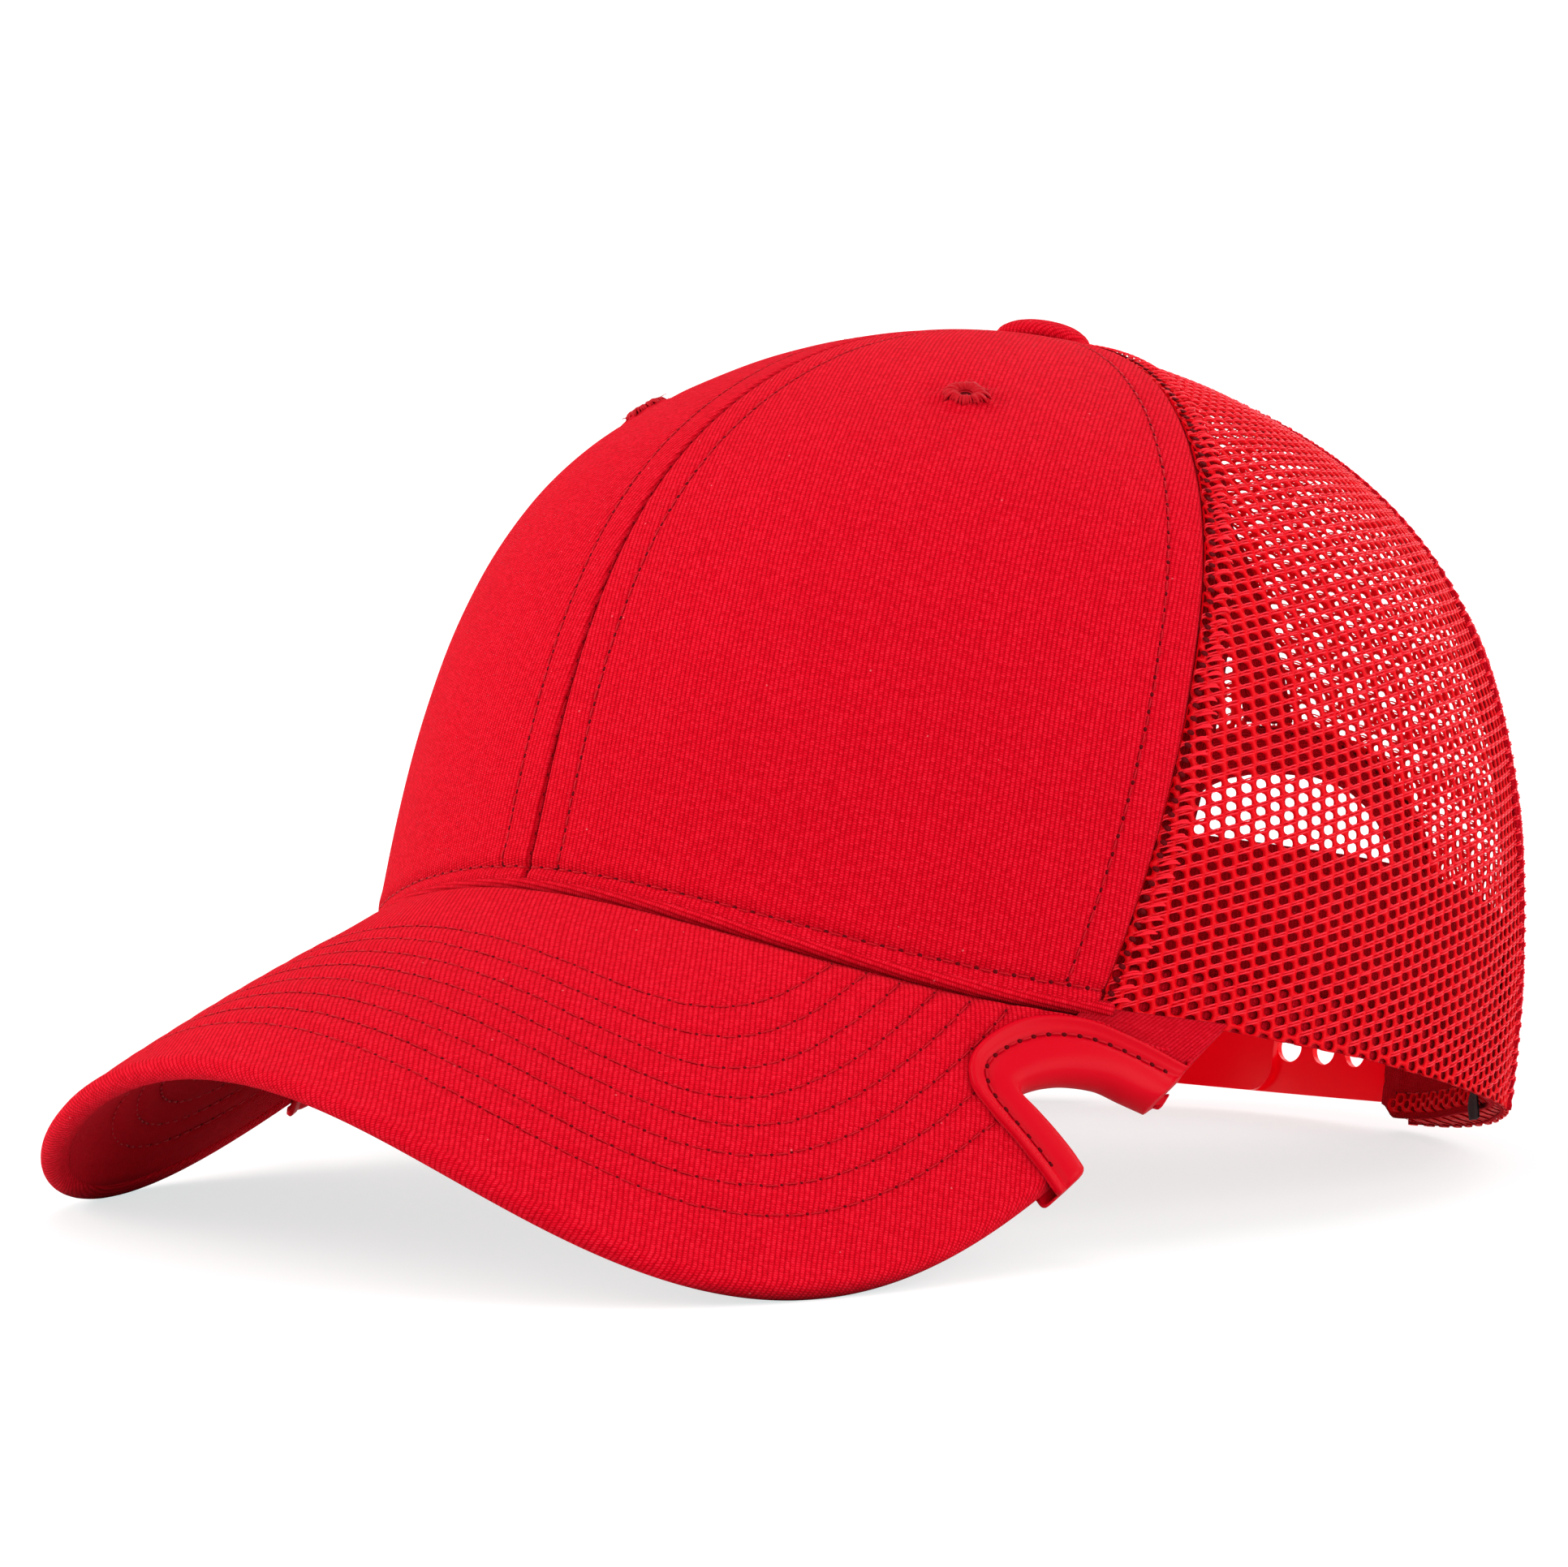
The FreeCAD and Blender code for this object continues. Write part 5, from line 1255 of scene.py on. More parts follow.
def cloth_edge():
    """Edge of the visor cloth with its two notches: turn, out, and the turn of its root."""
    cut = OPEN_LINE + TRIM_WIDTH * (1.35 / np.linalg.norm(TRIM_WIDTH, axis=-1, keepdims=True))
    notch_turn, notch_out = from_notch(cut[::-8])
    line = [(0.78 * k / 14, 1.0) for k in range(15)]
    line = [place for place in line if place[0] < notch_turn[0] - 0.03]
    line.append((notch_turn[0] - 0.012, 1.0))
    line += [place for place in zip(notch_turn, notch_out) if place[1] < 0.93]
    line += [(notch_turn[-1] + 0.008, 1.0), (min(notch_turn[-1] + 0.03, 0.985), 1.0), (1.0, 1.0)]
    line = round_corners(np.array(line))
    run = arc_length(visor(line[:, 0], line[:, 1]))
    tip_k = int(np.argmin(line[:, 1]))
    low_k = max(k for k in range(tip_k) if line[k, 1] > 0.985)
    high_k = min(k for k in range(tip_k, len(line)) if line[k, 1] > 0.985)
    at = np.linspace(0, run[-1], int(run[-1] / 0.85))
    turn, out = np.interp(at, run, line[:, 0]), np.interp(at, run, line[:, 1])
    root = np.interp(at, [0.0, run[low_k], run[tip_k], run[high_k], run[-1]],
                     [0.0, 0.56, 0.73, 0.90, 1.0])
    turn, root = (np.concatenate([-half[:0:-1], half]) for half in (turn, root))
    out = np.concatenate([out[:0:-1], out])
    return turn, out * (1 - 0.12 * smooth(0.885, 0.93, np.abs(root))), root


EDGE_TURN, EDGE_OUT, EDGE_ROOT = cloth_edge()


def edge_frame():
    """Edge points and the direction that leaves the visor at each."""
    points = visor(EDGE_TURN, EDGE_OUT)
    along = unit(np.concatenate([points[1:2] - points[:1], points[2:] - points[:-2],
                                 points[-1:] - points[-2:-1]]))
    return points, unit(-np.cross(visor_normal(EDGE_TURN, EDGE_OUT), along))


EDGE_POINTS, EDGE_AWAY = edge_frame()


def inset_edge(inset):
    """Visor places this far in from the cloth edge."""
    step = 1e-3
    turn_step = np.where(EDGE_TURN > 0, -step, step)
    by_turn = (visor(EDGE_TURN + turn_step, EDGE_OUT) - EDGE_POINTS) / turn_step[:, None]
    by_out = (visor(EDGE_TURN, EDGE_OUT + step) - EDGE_POINTS) / step
    move = -EDGE_AWAY * inset
    turn_turn, turn_out, out_out = dot(by_turn, by_turn), dot(by_turn, by_out), dot(by_out, by_out)
    turn_move, out_move = dot(by_turn, move), dot(by_out, move)
    det = turn_turn * out_out - turn_out * turn_out
    turn = (turn_move * out_out - out_move * turn_out) / det
    out = (turn_turn * out_move - turn_out * turn_move) / det
    most = 2.2 * inset / visor_length(EDGE_TURN)
    turn, out = np.clip(turn, -0.05, 0.05), np.clip(out, -most, most)
    return np.clip(EDGE_TURN + turn, -1, 1), np.clip(EDGE_OUT + out, 0.12, 1.0)


def visor_grid(inset, columns):
    """Places from 1 mm off the root to an inset edge."""
    edge_turn, edge_out = inset_edge(inset)
    turn = EDGE_ROOT * (1 - 0.3 / visor_length(np.array(1.0)) * np.abs(EDGE_ROOT))
    out = 1.0 / visor_length(turn)
    part = np.linspace(0, 1, columns)[None]
    return (turn[:, None] + (edge_turn - turn)[:, None] * part,
            out[:, None] + (edge_out - out)[:, None] * part)


def blur(table, rounds):
    for k in range(rounds):
        table = soften(soften(table).T).T
    return table


MAP_ASIDE, MAP_AHEAD = np.arange(-125.0, 125.1, 1.0), np.arange(-75.0, 75.1, 1.0)


def outline_distances():
    """1 mm map of the distance to the outline without notches, softened away from it."""
    tree = KDTree(2 * len(OUTLINE_ASIDE))
    for k, (aside, ahead) in enumerate(zip(OUTLINE_ASIDE, OUTLINE_AHEAD)):
        tree.insert((aside, ahead, 0), 2 * k)
        tree.insert((-aside, ahead, 0), 2 * k + 1)
    tree.balance()
    sharp = np.array([[tree.find((x, y, 0))[2] for y in MAP_AHEAD] for x in MAP_ASIDE])
    soft, softer = blur(sharp, 40), blur(sharp, 140)
    away, far = smooth(14.0, 28.0, sharp), smooth(30.0, 48.0, sharp)
    return sharp * (1 - away) + (soft * (1 - far) + softer * far) * away


DISTANCES = outline_distances()


def edge_distance(turn, out):
    aside, ahead = flatten(turn, out)
    return bilinear(DISTANCES, np.clip(aside - MAP_ASIDE[0], 0, len(MAP_ASIDE) - 1.001),
                    np.clip(ahead - MAP_AHEAD[0], 0, len(MAP_AHEAD) - 1.001))


# ============================================================ visor cloth
ROW_PITCH = 4.75
ROWS = [11.6 + ROW_PITCH * k for k in range(8)]    # stitch rows, from the outline
HALF_BOARD, BOARD_GAP, CLOTH_THICK = 1.0, 0.2, 0.6
RIM = HALF_BOARD + BOARD_GAP + CLOTH_THICK
INNER_FACE = HALF_BOARD + 0.05
TOP_COLUMNS = 86


def quilting(distance, depth=0.17, width=0.50, puff=0.07):
    """Grooves at the stitch rows, puffs between them, and a dip inside the edge."""
    relief = 0.0 * distance
    for row in ROWS:
        relief = relief - depth * bell(distance - row, width)
    phase = (distance - ROWS[0]) / ROW_PITCH * 2 * np.pi - np.pi / 2
    among = (distance > ROWS[0] - 2) & (distance < ROWS[-1] + 2)
    return relief + puff * np.sin(phase) * among - 0.12 * bell(distance - 4.6, 1.6)


def visor_waves(points):
    return noise(points, 52.0, 21) * 0.16 + noise(points, 20.0, 22) * 0.05


def rim_roll(middle, normals, top):
    """Cloth rolled round the edge and tucked under it, added to the top's two faces."""
    away = unit(EDGE_AWAY - normals * np.sum(EDGE_AWAY * normals, -1, keepdims=True))
    end_height = np.linalg.norm(top - middle, axis=-1)
    outer, inner = [], []
    for degrees in np.linspace(12, 180, 15):
        angle = math.radians(degrees)
        toward = away * math.sin(angle) + normals * math.cos(angle)
        radius = (RIM + 0.10 * math.sin(angle)
                  + (end_height - RIM) * max(0.0, 1 - degrees / 60))
        outer.append(middle + toward * radius[:, None])
        inner.append(middle + toward * INNER_FACE)
    for inset, drop in ((0.7, 0.0), (1.5, -0.05), (1.9, -0.4)):
        tucked = middle - away * inset
        outer.append(tucked - normals * (RIM + drop))
        inner.append(tucked - normals * INNER_FACE)
    return np.stack(outer, 1), np.stack(inner, 1)


def visor_top():
    turn, out = visor_grid(RIM, TOP_COLUMNS)
    middle, normals = visor(turn, out), visor_normal(turn, out)
    from_root = out * visor_length(turn)
    sink = -1.9 * np.exp(-(from_root / 2.1) ** 2) * smooth(0.90, 0.70, np.abs(turn))
    height = RIM + quilting(edge_distance(turn, out)) + visor_waves(middle) + sink
    top = middle + normals * height[..., None]
    inner = middle + normals * (INNER_FACE + 0.85 * sink)[..., None]
    roll_outer, roll_inner = rim_roll(middle[:, -1], normals[:, -1], top[:, -1])
    top = np.concatenate([top, roll_outer], 1)
    inner = np.concatenate([inner, roll_inner], 1)
    uv = np.stack(flatten(turn, out), -1)
    run = arc_length(top[:, TOP_COLUMNS - 1:], 1)[:, 1:]
    uv = np.concatenate([uv, uv[:, -1:] + run[..., None] * unit(uv[:, -1:] - uv[:, -3:-2])], 1)
    grain = math.radians(50.0)
    uv = np.stack([uv[..., 0] * math.sin(grain) - uv[..., 1] * math.cos(grain),
                   uv[..., 0] * math.cos(grain) + uv[..., 1] * math.sin(grain)], -1)
    add_sheets("visor_top_cloth", to_world(top), to_world(inner), TWILL, uv,
               "visor_top_cover", MIDDLE)
    return to_world(top), tip(normals)


def visor_under():
    turn, out = visor_grid(RIM + 0.9, 70)
    middle, normals = visor(turn, out), visor_normal(turn, out)
    distance = edge_distance(turn, out)
    depth = (RIM + 0.8 * quilting(distance, 0.22, 0.55, 0.10) + 0.10
             - 0.35 * bell(distance - 3.0, 0.8) + noise(middle, 30.0, 5) * 0.10)
    add_sheets("visor_under_cloth", to_world(middle - normals * depth[..., None]),
               to_world(middle - normals * INNER_FACE), BAND_TWILL,
               np.stack(flatten(turn, out), -1), "visor_under_cover", MIDDLE)


def inside_polygon(x, y, polygon):
    x, y = x[..., None], y[..., None]
    x1, y1 = polygon[:, 0], polygon[:, 1]
    x2, y2 = np.roll(x1, -1), np.roll(y1, -1)
    hit = ((y1 > y) != (y2 > y)) & (x < (x2 - x1) * (y - y1) / (y2 - y1 + 1e-12) + x1)
    return np.sum(hit, -1) % 2 == 1


def visor_stitching():
    """Rows parallel to the outline on both faces, broken at the notches."""
    blocked = np.concatenate([TRIM_LINE, [[11.8, 60.0], [-60.0, 60.0], [-26.0, 11.3]]])
    turns, outs = np.linspace(-0.93, 0.93, 900), np.linspace(0.03, 1.0, 150)
    distances = edge_distance(*np.meshgrid(turns, outs, indexing="ij"))
    for row in ROWS:
        out = np.full(len(turns), np.nan)
        for k, line in enumerate(distances):
            crossings = np.nonzero((line[:-1] >= row) & (line[1:] < row))[0]
            if len(crossings):
                i = crossings[-1]
                part = (line[i] - row) / (line[i] - line[i + 1])
                out[k] = outs[i] + (outs[i + 1] - outs[i]) * part
        found = ~np.isnan(out)
        turn, out = turns[found], out[found]
        forward, outward = in_notch(np.abs(turn), out)
        reach = np.linalg.norm(visor(np.abs(turn), out) - NOTCH_CENTRE, axis=-1)
        near = (np.abs(turn) > 0.5) & (reach < 60)
        keep = ~(inside_polygon(forward, outward, blocked) & near)
        keep &= out * visor_length(turn) > 2.5
        breaks = np.nonzero(np.diff(keep.astype(int)))[0] + 1
        for part in np.split(np.arange(len(turn)), breaks):
            if len(part) < 12 or not keep[part[0]]:
                continue
            line, normals = visor(turn[part], out[part]), visor_normal(turn[part], out[part])
            height = RIM - 0.15 + visor_waves(line)
            stitch(to_world(line + normals * height[:, None]), tip(normals), length=2.35,
                   gap=0.65, radius=0.13, hole=0.19, rise=0.05, sink=0.18)
            under = line - normals * (RIM - 0.12)
            stitch(to_world(under[::2]), -tip(normals[::2]), length=2.05, radius=0.14,
                   hole=0.26, rise=0.08, sink=0.16)


# ============================================================ notch trims and tabs
# across the trim (0 at the opening, 1 at the outer edge), height above the cloth on the top
# face, and the same on the underside
TRIM_PROFILE = (
    (1.00, 0.02, 0.02), (1.00, 0.75, 0.60), (0.97, 1.05, 0.80), (0.93, 1.12, 0.85),
    (0.88, 0.98, 0.85), (0.83, 0.80, 0.82), (0.76, 0.72, 0.78), (0.70, 0.66, 0.74),
    (0.66, 0.48, 0.60), (0.62, 0.44, 0.56), (0.58, 0.50, 0.60), (0.52, 0.78, 0.76),
    (0.44, 0.95, 0.90), (0.34, 1.12, 1.00), (0.24, 1.25, 1.10), (0.14, 1.30, 1.15),
    (0.05, 1.28, 1.18), (0.00, 1.22, 1.22))
TRIM_GROOVE = 0.62      # where the stitches run across the trim
# run out, size: sections that round off an end of the trim
TRIM_END = ((0.30, 0.985), (0.62, 0.93), (0.85, 0.84), (0.95, 0.70), (0.98, 0.4))


def trim_line(across):
    """Middle points and normals of the visor along the trim."""
    place = from_notch(OPEN_LINE + TRIM_WIDTH * across)
    return visor(*place), visor_normal(*place)


def round_trim_ends(outer, inner, lines):
    rings_outer, rings_inner = [outer], [inner]
    for end, beside, reach in ((0, 3, 0.3), (TRIM_STATIONS - 1, TRIM_STATIONS - 4, 1.0)):
        middle = lines[:, end].mean(0)
        out = unit(middle - lines[:, beside].mean(0))
        extra_outer = np.stack([middle + (outer[end] - middle) * size + out * run * reach
                                for run, size in TRIM_END])
        extra_inner = np.stack([
            middle + (inner[end] - middle) * size * 0.96 + out * run * reach * 0.6
            for run, size in TRIM_END])
        if end == 0:
            rings_outer.insert(0, extra_outer[::-1])
            rings_inner.insert(0, extra_inner[::-1])
        else:
            rings_outer.append(extra_outer)
            rings_inner.append(extra_inner)
    return np.concatenate(rings_outer), np.concatenate(rings_inner)


def notch_trims():
    lines, normals = (np.stack(item) for item in
                      zip(*(trim_line(across) for across, _, _ in TRIM_PROFILE)))
    face = RIM + 0.02
    outer, inner = [], []
    for line, up, (_, height, _) in zip(lines, normals, TRIM_PROFILE):
        outer.append(line + up * (RIM + height))
        inner.append(line + up * face)
    # rounded lip at the opening
    lip, up = lines[-1], normals[-1]
    toward = unit(lip - lines[-4])
    for degrees in np.linspace(15, 165, 11):
        sin, cos = math.sin(math.radians(degrees)), math.cos(math.radians(degrees))
        outer.append(lip + (toward * sin * 0.72 + up * cos) * (RIM + TRIM_PROFILE[-1][1]))
        inner.append(lip + toward * sin * 0.5 + up * cos * face)
    # the underside narrows towards the first end
    tuck = 0.80 * smooth(26.0, 0.0, np.arange(TRIM_STATIONS))[:, None]
    for line, up, (_, _, height) in zip(lines[::-1], normals[::-1], TRIM_PROFILE[::-1]):
        base = line + (lip - line) * tuck
        outer.append(base - up * (RIM + height))
        inner.append(base - up * face)
    outer, inner = round_trim_ends(np.stack(outer, 1), np.stack(inner, 1), lines)
    add_sheets("temple_notch_rubber", to_world(outer), to_world(inner), RUBBER,
               replaces="notch_trim")
    line, up = trim_line(TRIM_GROOVE)
    line, up = line[7:-7], up[7:-7]
    style = dict(length=1.7, gap=0.65, radius=0.20, rise=0.16, sink=0.2)
    above, below = to_world(line + up * (RIM + 0.50)), to_world(line - up * (RIM + 0.60))
    for suffix, side in SIDES:
        normal = to_side(side, tip(up))
        stitch(to_side(side, above), normal, hole=0.34, **style)
        stitch(to_side(side, below), -normal, hole=0.30, **style)


def temple_tabs():
    """Twill tab from behind the notch up to the crown's hem."""
    rows, columns = 46, 26
    along = np.linspace(0, 1, rows)
    flat = sample(44.0 * (1 - along), np.arange(TRIM_STATIONS), OPEN_LINE + TRIM_WIDTH * 0.55)
    place = from_notch(flat)
    low, low_up = visor(*place), visor_normal(*place)
    phi = 55.0 + (69.0 - 55.0) * along
    crown_up = crown_normal(phi, 0 * phi)
    high = crown(phi, 0 * phi) - crown_up * 1.35 + np.array([0, 0, 0.7])
    high_up = unit(low_up * 0.75 + crown_up * 0.25)
    down = np.linspace(0, 1, columns)[None, :, None]
    middle = high[:, None] * (1 - down) + low[:, None] * down
    normals = unit(high_up[:, None] * (1 - down) + low_up[:, None] * down)
    half = RIM * 0.72 + (RIM - 0.15 - RIM * 0.72) * down[..., 0]
    to_edge = np.clip((1 - along[:, None]) * 30.0 / 1.3, 0, 1)
    half = half * np.sqrt(np.clip(1 - (1 - to_edge) ** 2, 0.02, 1))
    waves = noise(middle, 17.0, 31) * 0.10
    add_sheets("temple_tab_cloth", to_world(middle + normals * (half + waves)[..., None]),
               to_world(middle - normals * half[..., None]), TWILL,
               plane_uv(phi * 1.6, np.linspace(0, 22, columns)))


# ============================================================ joint of visor and crown
def hem_roll():
    """Low puffy roll along the hem of the front panels."""
    end = front_seam(0.0) + 1.5
    phi = np.linspace(-end, end, 260)
    base, normals = crown(phi, 0 * phi), crown_normal(phi, 0 * phi)
    ripple = 0.05 * np.sin(np.radians(phi) * 98 / 3.1)
    radius = 1.35
    rows = []
    for angle in np.radians(np.linspace(-110, 100, 12)):
        depth = 0.55 - radius * math.cos(angle) + ripple
        row = base - normals * depth[:, None]
        row[:, 2] += 0.75 + radius * math.sin(angle) * 1.05
        rows.append(to_world(row))
    outer = np.stack(rows, 1)
    centre = outer.mean(1, keepdims=True)
    add_sheets("front_hem_roll", outer, centre + (outer - centre) * 0.3, TWILL,
               arc_uv(outer)[..., ::-1], sides=MIDDLE)


def root_allowance():
    """Seam allowance that joins the visor's root to the crown, tucked up behind the hem."""
    phi = np.linspace(-0.95, 0.95, 240) * VISOR_END_PHI
    turn = phi / VISOR_END_PHI
    high = crown(phi, 0 * phi) - crown_normal(phi, 0 * phi) * 1.5
    high[:, 2] += 1.2
    out = 4.2 / visor_length(turn)
    normals = visor_normal(turn, out)
    low = visor(turn, out) - normals * 0.2
    down = np.linspace(0, 1, 6)[None, :, None]
    middle = high[:, None] * (1 - down) + low[:, None] * down
    half = normals[:, None] * 0.28
    add_sheets("visor_root_allowance", to_world(middle + half), to_world(middle - half), TWILL,
               plane_uv(phi * 1.7, np.linspace(0, 5, 6)), sides=MIDDLE)


# ============================================================ button and eyelets
BUTTON_RADIUS, BUTTON_HEIGHT = 8.25, 4.4
# radius and height, as parts of the button's
BUTTON_PROFILE = (
    (0.02, 1.0), (0.15, 0.995), (0.30, 0.975), (0.45, 0.935), (0.58, 0.88), (0.70, 0.80),
    (0.80, 0.705), (0.88, 0.60), (0.94, 0.48), (0.98, 0.35), (1.0, 0.20), (0.99, 0.08),
    (0.94, -0.01), (0.86, -0.05))


def top_button():
    centre = to_world(np.array([0.0, 0.0, crown(0.0, 0.99999)[2]]))
    x_axis, y_axis, up = np.array([1.0, 0, 0]), tip(np.array([0, 1.0, 0])), tip(np.array([0, 0, 1.0]))
    around = 96
    angle = np.linspace(0, 2 * np.pi, around, endpoint=False)
    gathers = np.sin(angle * 17 + 0.5)
    rows = []
    for radius, height in BUTTON_PROFILE:
        ruffle = 1 + 0.006 * gathers * smooth(0.7, 1.0, radius) + 0.006 * np.sin(angle * 5)
        lift = (height * BUTTON_HEIGHT + 0.06 * np.sin(angle * 3 + 1) * smooth(0.2, 0.8, radius)
                + 0.03 * gathers * smooth(0.75, 1.0, radius) - 0.35)
        reach = BUTTON_RADIUS * radius * ruffle
        rows.append(centre + up * lift[:, None] + x_axis * (np.cos(angle) * reach)[:, None]
                    + y_axis * (np.sin(angle) * reach)[:, None])
    points = np.stack(rows, 1).reshape(-1, 3)
    ids = np.arange(len(points)).reshape(around, -1)
    beside = np.roll(ids, -1, 0)
    walls = np.stack([ids[:, :-1], ids[:, 1:], beside[:, 1:], beside[:, :-1]], -1).reshape(-1, 4)
    offset = points - centre
    uv = np.stack([offset @ x_axis, offset @ y_axis], -1)
    uv += (offset @ up)[:, None] * unit(uv) * -0.7
    thing = build_mesh("covered_button", points, [walls, ids[::-1, 0][None], ids[:, -1][None]],
                       TWILL, uv)
    face_outwards(thing)
    register(thing, "top_button")


def eyelets():
    """Radial embroidery, three rings inside it, loose hairs and a dark plug in the hole, painted
    shade.
    """
    centre, up = to_world(EYELET), tip(EYELET_NORMAL)
    x_axis = unit(np.cross(up, np.array([0, 0, 1.0])))
    y_axis = np.cross(up, x_axis)

    def polar(radius, angle, height):
        return (centre + x_axis * (radius * np.cos(angle))[..., None]
                + y_axis * (radius * np.sin(angle))[..., None]
                + up * np.asarray(height)[..., None])

    bag = Pieces()
    draw = np.random.default_rng(5)
    count = 44
    angle = np.linspace(0, 2 * np.pi, count, endpoint=False) + draw.normal(size=count) * 0.03
    part = np.linspace(0, 1, 7)[None]
    start = 1.25 + draw.normal(size=count) * 0.06
    end = 3.55 + draw.normal(size=count) * 0.28
    radius = start[:, None] + (end - start)[:, None] * part
    height = (0.10 + 0.75 * np.sin(np.pi * np.clip(part * 0.86 + 0.12, 0, 1))
              + draw.normal(size=(count, 1)) * 0.06 - 0.35 * (part > 0.95))
    bag.add(*tubes(polar(radius, angle[:, None] + 0.05 * part, height),
                   [.20, .24, .27, .28, .28, .26, .18], 5, 0.8, up))
    ring = np.linspace(0, 2 * np.pi, 40)
    for radius, height in ((1.3, 0.35), (1.15, 0.0), (1.2, -0.5)):
        bag.add(*tubes(polar(radius, ring, height)[None], 0.24, 5, 1.0, up))
    hairs = []
    for k in range(16):
        angle, radius = draw.uniform(0, 6.28), draw.uniform(2.6, 4.0)
        heading = angle + draw.normal() * 0.9
        length = draw.uniform(0.9, 2.6)
        base = polar(radius, np.array(angle), 0.45)
        hairs.append([base + (x_axis * math.cos(heading + x * 0.5)
                              + y_axis * math.sin(heading + x * 0.5)) * length * x
                      + up * (0.35 * math.sin(x * 2.4)) for x in np.linspace(0, 1, 6)])
    bag.add(*tubes(hairs, [.05, .05, .045, .04, .035, .02], 4, 1.0, up))
    points, faces = bag.mesh()
    # painted shade: a dark plug fills the eyelet's hole
    ring = polar(1.15, 2 * np.pi * np.arange(16) / 16, 0.0)
    plug = np.concatenate([ring + up * 0.05, ring - up * 0.5])
    ids = np.arange(16)
    beside = (ids + 1) % 16
    wall = np.stack([ids, beside, beside + 16, ids + 16], -1)
    for suffix, side in SIDES:
        add_side_mesh("eyelet_embroidery" + suffix, side, points, faces, THREAD, "eyelet",
                      "eyelet" + suffix)
        thing = build_mesh("eyelet_hole_shadow" + suffix, to_side(side, plug),
                           [wall, ids[None, ::-1], ids[None] + 16], HOLE_PAINTED_SHADE)
        face_outwards(thing)
        register(thing)


# ============================================================ straps, board and tag
STRAP_LEAN = TIP - math.radians(5.0)
STRAP_ORIGIN = to_world(np.array([0, 22.0, -3.2 + 8.5]))
STRAP_REAR = np.array([0, math.cos(STRAP_LEAN), -math.sin(STRAP_LEAN)])
STRAP_UP = np.array([0, math.sin(STRAP_LEAN), math.cos(STRAP_LEAN)])
WEB_ANGLE = 23.0        # from the rear centre to the middle of a web


def frame_materials():
    for name in ("hole_strap", "peg_strap", "hole_strap_sewn_end", "peg_strap_sewn_end",
                 "visor_board", "button_rivet"):
        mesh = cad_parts[name].data
        mesh.materials.clear()
        mesh.materials.append({"visor_board": BOARD, "button_rivet": METAL}.get(name, PLASTIC))
        if "strap" in name:
            for polygon in mesh.polygons:
                polygon.use_smooth = False


def strap_point(radius, degrees, z):
    angle = np.radians(degrees)
    return (STRAP_ORIGIN + np.array([1.0, 0, 0]) * (-radius * np.sin(angle))[..., None]
            + STRAP_REAR * (radius * np.cos(angle))[..., None] + STRAP_UP * z[..., None])


def strap_webs():
    """Thin flexible web between each strap and its sewn end."""
    for name, strap_radius, side in (("hole_strap", 75.55, -1), ("peg_strap", 74.10, 1)):
        middle = strap_radius - 0.6
        degrees, z = np.meshgrid(side * WEB_ANGLE + np.linspace(1.9, -1.9, 17) * side / 75.0 * 57.3,
                                 np.linspace(-8.3, 8.3, 9), indexing="ij")
        across = np.linspace(-1, 1, 17)[:, None] + 0 * z
        half = 0.34 + 0.24 * np.abs(across) ** 2.5
        web = build_sheet(name + "_flex_web", strap_point(middle + half, degrees, z),
                          strap_point(middle - half, degrees, z), PLASTIC, soft=False)
        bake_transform(web)


def size_tag():
    """Wavy blank tag inside the sweatband."""
    height, across = np.meshgrid(np.linspace(-1.4, 10.4, 26), np.linspace(-3.4, 3.4, 14),
                                 indexing="ij")
    phi = 126.0 + np.degrees(across / 92.0)
    rise = rise_above_hem(phi, height)
    wave = (0.45 + 0.40 * (1 + np.sin(height / 1.55 + 0.12 * across)) * smooth(10.0, 3.0, height)
            + 0.2 * np.sin(across / 1.7) ** 2)
    inner, outer = (on_crown(phi, rise, band_depth(phi) + 1.0 + wave + offset)[0]
                    for offset in (0.30, 0.02))
    add_sheets("blank_size_tag", inner, outer, TAG, np.stack([across, height], -1),
               "size_tag", MIDDLE)


def loose_fibres(panel, panel_normals, visor_cloth, visor_normals):
    """Short hairs, two thirds of them on the front panels and the rest on the visor."""
    draw = np.random.default_rng(12)
    hairs, normals = [], []
    for k in range(90):
        side = 1 if draw.random() < 0.5 else -1
        if k % 3:
            i = draw.integers(8, panel.shape[0] - 8)
            j = draw.integers(12, panel.shape[1] - 30)
            base, up = panel[i, j], panel_normals[i, j]
        else:
            i = draw.integers(60, len(EDGE_TURN) - 60)
            j = draw.integers(12, TOP_COLUMNS - 6)
            base, up = visor_cloth[i, j], visor_normals[i, j]
        base, up = to_side(side, base), to_side(side, up)
        ahead = unit(np.cross(up, draw.normal(size=3)))
        aside = np.cross(up, ahead)
        length, curl = draw.uniform(0.5, 1.7), draw.normal() * 1.2
        hairs.append([base + up * (0.05 + 0.28 * math.sin(x * 2.8)) + ahead * length * x
                      + aside * (0.4 * curl * x * x) for x in np.linspace(0, 1, 6)])
        normals.append([up] * 6)
    bag = Pieces()
    bag.add(*tubes(hairs, [.028, .03, .03, .028, .025, .015], 3, 1.0, np.array(normals)))
    bag.build("loose_fibres", WHIP, "twill")


# ============================================================ stage, in metres
FLOOR_HALF = 9.0
SCENE = bpy.context.scene


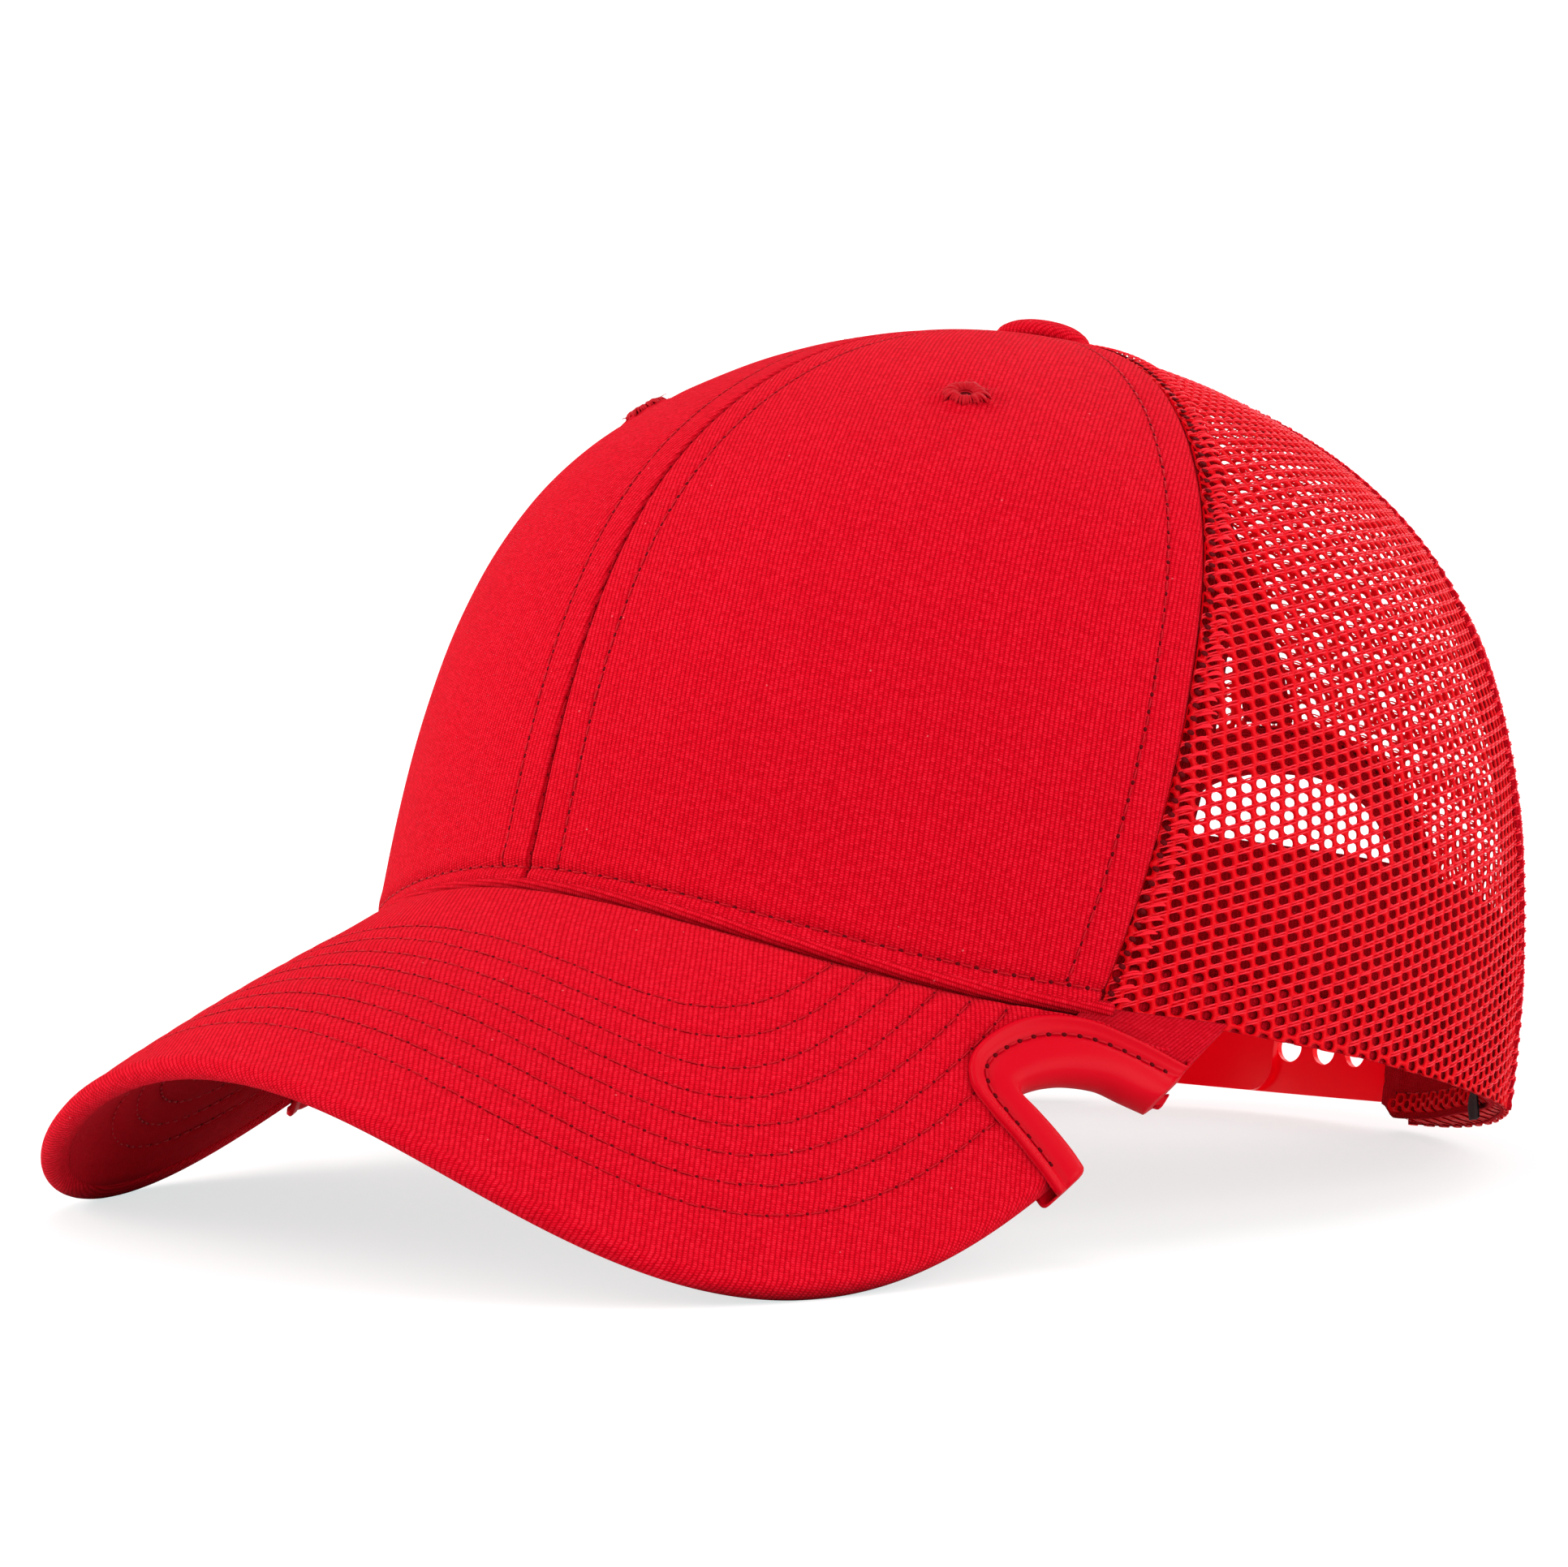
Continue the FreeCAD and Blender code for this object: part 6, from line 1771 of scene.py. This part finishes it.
def floor_material():
    """Bright floor that fades to plain white far off; only the camera sees its glow."""
    material, shader = new_material("white_floor")
    patches = shader.node("TexNoise", {"Scale": 3.0})
    shader.fill(shader.bsdf, {
        "Base Color": shader.mix(shader.math("MULTIPLY", patches, 0.04), (0.42, 0.37, 0.37),
                                 (0.40, 0.35, 0.35)),
        "Roughness": 0.7, "Specular IOR Level": 0.0})
    glow = shader.node("Emission", {0: (0.635, 0.69, 0.69)})
    near = shader.node("AddShader", {0: shader.bsdf, 1: glow})
    far = shader.node("Emission", {"Strength": 1.3})
    place = shader.node("NewGeometry").outputs["Position"]
    distance = shader.node("VectorMath", {0: place}, operation="LENGTH").outputs["Value"]
    fade = shader.node("MapRange", {0: distance, 1: 0.28, 2: 0.75},
                       interpolation_type="SMOOTHSTEP")
    seen = shader.node("MixShader", {0: fade, 1: near, 2: far})
    unseen = shader.node("BsdfDiffuse", {0: (0.74, 0.74, 0.74)})
    camera_ray = shader.node("LightPath").outputs["Is Camera Ray"]
    shader.fill(shader.output,
                {0: shader.node("MixShader", {0: camera_ray, 1: unseen, 2: seen})})
    return material


def add_floor():
    material = floor_material()
    mesh = bpy.data.meshes.new("studio_floor")
    corners = [(x * FLOOR_HALF, y * FLOOR_HALF, 0) for x, y in ((-1, -1), (1, -1), (1, 1), (-1, 1))]
    mesh.from_pydata(corners, [], [(0, 1, 2, 3)])
    floor = bpy.data.objects.new("studio_floor", mesh)
    mesh.materials.append(material)
    SCENE.collection.objects.link(floor)


def add_world():
    """White surroundings, dimmer as light than as seen by the camera."""
    world = bpy.data.worlds.new("studio")
    world.use_nodes = True
    shader = Nodes(world.node_tree)
    light = next(x for x in world.node_tree.nodes if x.type == "BACKGROUND")
    output = next(x for x in world.node_tree.nodes if x.type == "OUTPUT_WORLD")
    shader.fill(light, {0: (1, 1, 1), 1: 0.66})
    camera_ray = shader.node("LightPath").outputs["Is Camera Ray"]
    seen = shader.node("Background", {0: (1, 1, 1), 1: 1.3})
    shader.fill(output, {0: shader.node("MixShader", {0: camera_ray, 1: light, 2: seen})})
    SCENE.world = world


def direction(azimuth, elevation):
    """Unit vector; azimuth in degrees from -Y towards +X."""
    azimuth, elevation = math.radians(azimuth), math.radians(elevation)
    return Vector((math.sin(azimuth) * math.cos(elevation),
                   -math.cos(azimuth) * math.cos(elevation), math.sin(elevation)))


# name; place from the target towards the camera, to its right and up; width; height; watts
LIGHTS = (
    ("key_top", (0.25, -0.25, 1.35), 1.1, 1.1, 4.5),
    ("left_wall", (0.1, -1.3, 0.55), 1.2, 0.9, 14.0),
    ("front_fill", (1.6, 0.35, 0.7), 1.0, 1.0, 5.5),
    ("back_right", (-0.9, 0.9, 0.8), 0.9, 0.9, 6.0),
    ("right_fill", (0.5, 1.3, 0.5), 1.0, 1.0, 9.5))


def add_lights():
    target = Vector((0, -0.02, 0.06))
    toward = direction(40.64, 0.0)
    right = Vector((-toward.y, toward.x, 0))
    for name, (near, aside, height), width, tall, power in LIGHTS:
        light = bpy.data.lights.new(name, "AREA")
        light.shape = "RECTANGLE"
        light.size, light.size_y = width, tall
        light.energy = power
        lamp = bpy.data.objects.new(name, light)
        lamp.location = target + toward * near + right * aside + Vector((0, 0, height))
        aim = target - lamp.location
        lamp.rotation_euler = aim.to_track_quat("-Z", "Y").to_euler()
        SCENE.collection.objects.link(lamp)


def add_camera():
    data = bpy.data.cameras.new("photo_view")
    camera = bpy.data.objects.new("photo_view", data)
    SCENE.collection.objects.link(camera)
    azimuth, elevation = 40.6426, 2.544
    pivot, distance = Vector((0, -0.020, 0.0602)), 0.6501458
    camera.location = pivot + distance * direction(azimuth, elevation)
    # the view is turned slightly off the pivot
    aim = -direction(azimuth + 1.0775, elevation - 0.316)
    camera.rotation_euler = aim.to_track_quat("-Z", "Y").to_euler()
    data.sensor_width = 36.0
    data.lens = 92.311731
    data.clip_start, data.clip_end = 0.02, 50.0
    SCENE.camera = camera


# ============================================================ build
panel_points, panel_normals = front_panels()
net_panels()
overlock()
seam_strips()
front_stiffeners()
sweatband()
net_hem_tapes()
arch_binding()
visor_points, visor_normals = visor_top()
visor_under()
visor_stitching()
notch_trims()
temple_tabs()
hem_roll()
root_allowance()
top_button()
eyelets()
frame_materials()
strap_webs()
size_tag()
threads.build("lockstitch_threads", THREAD, "twill")
holes.build("needle_holes", HOLE_PAINTED_SHADE, "twill")
loose_fibres(panel_points, panel_normals, visor_points, visor_normals)
add_floor()
add_world()
add_lights()
add_camera()
SCENE.view_settings.view_transform = "Standard"
SCENE.view_settings.look = "None"
SCENE.view_settings.exposure = 0.0
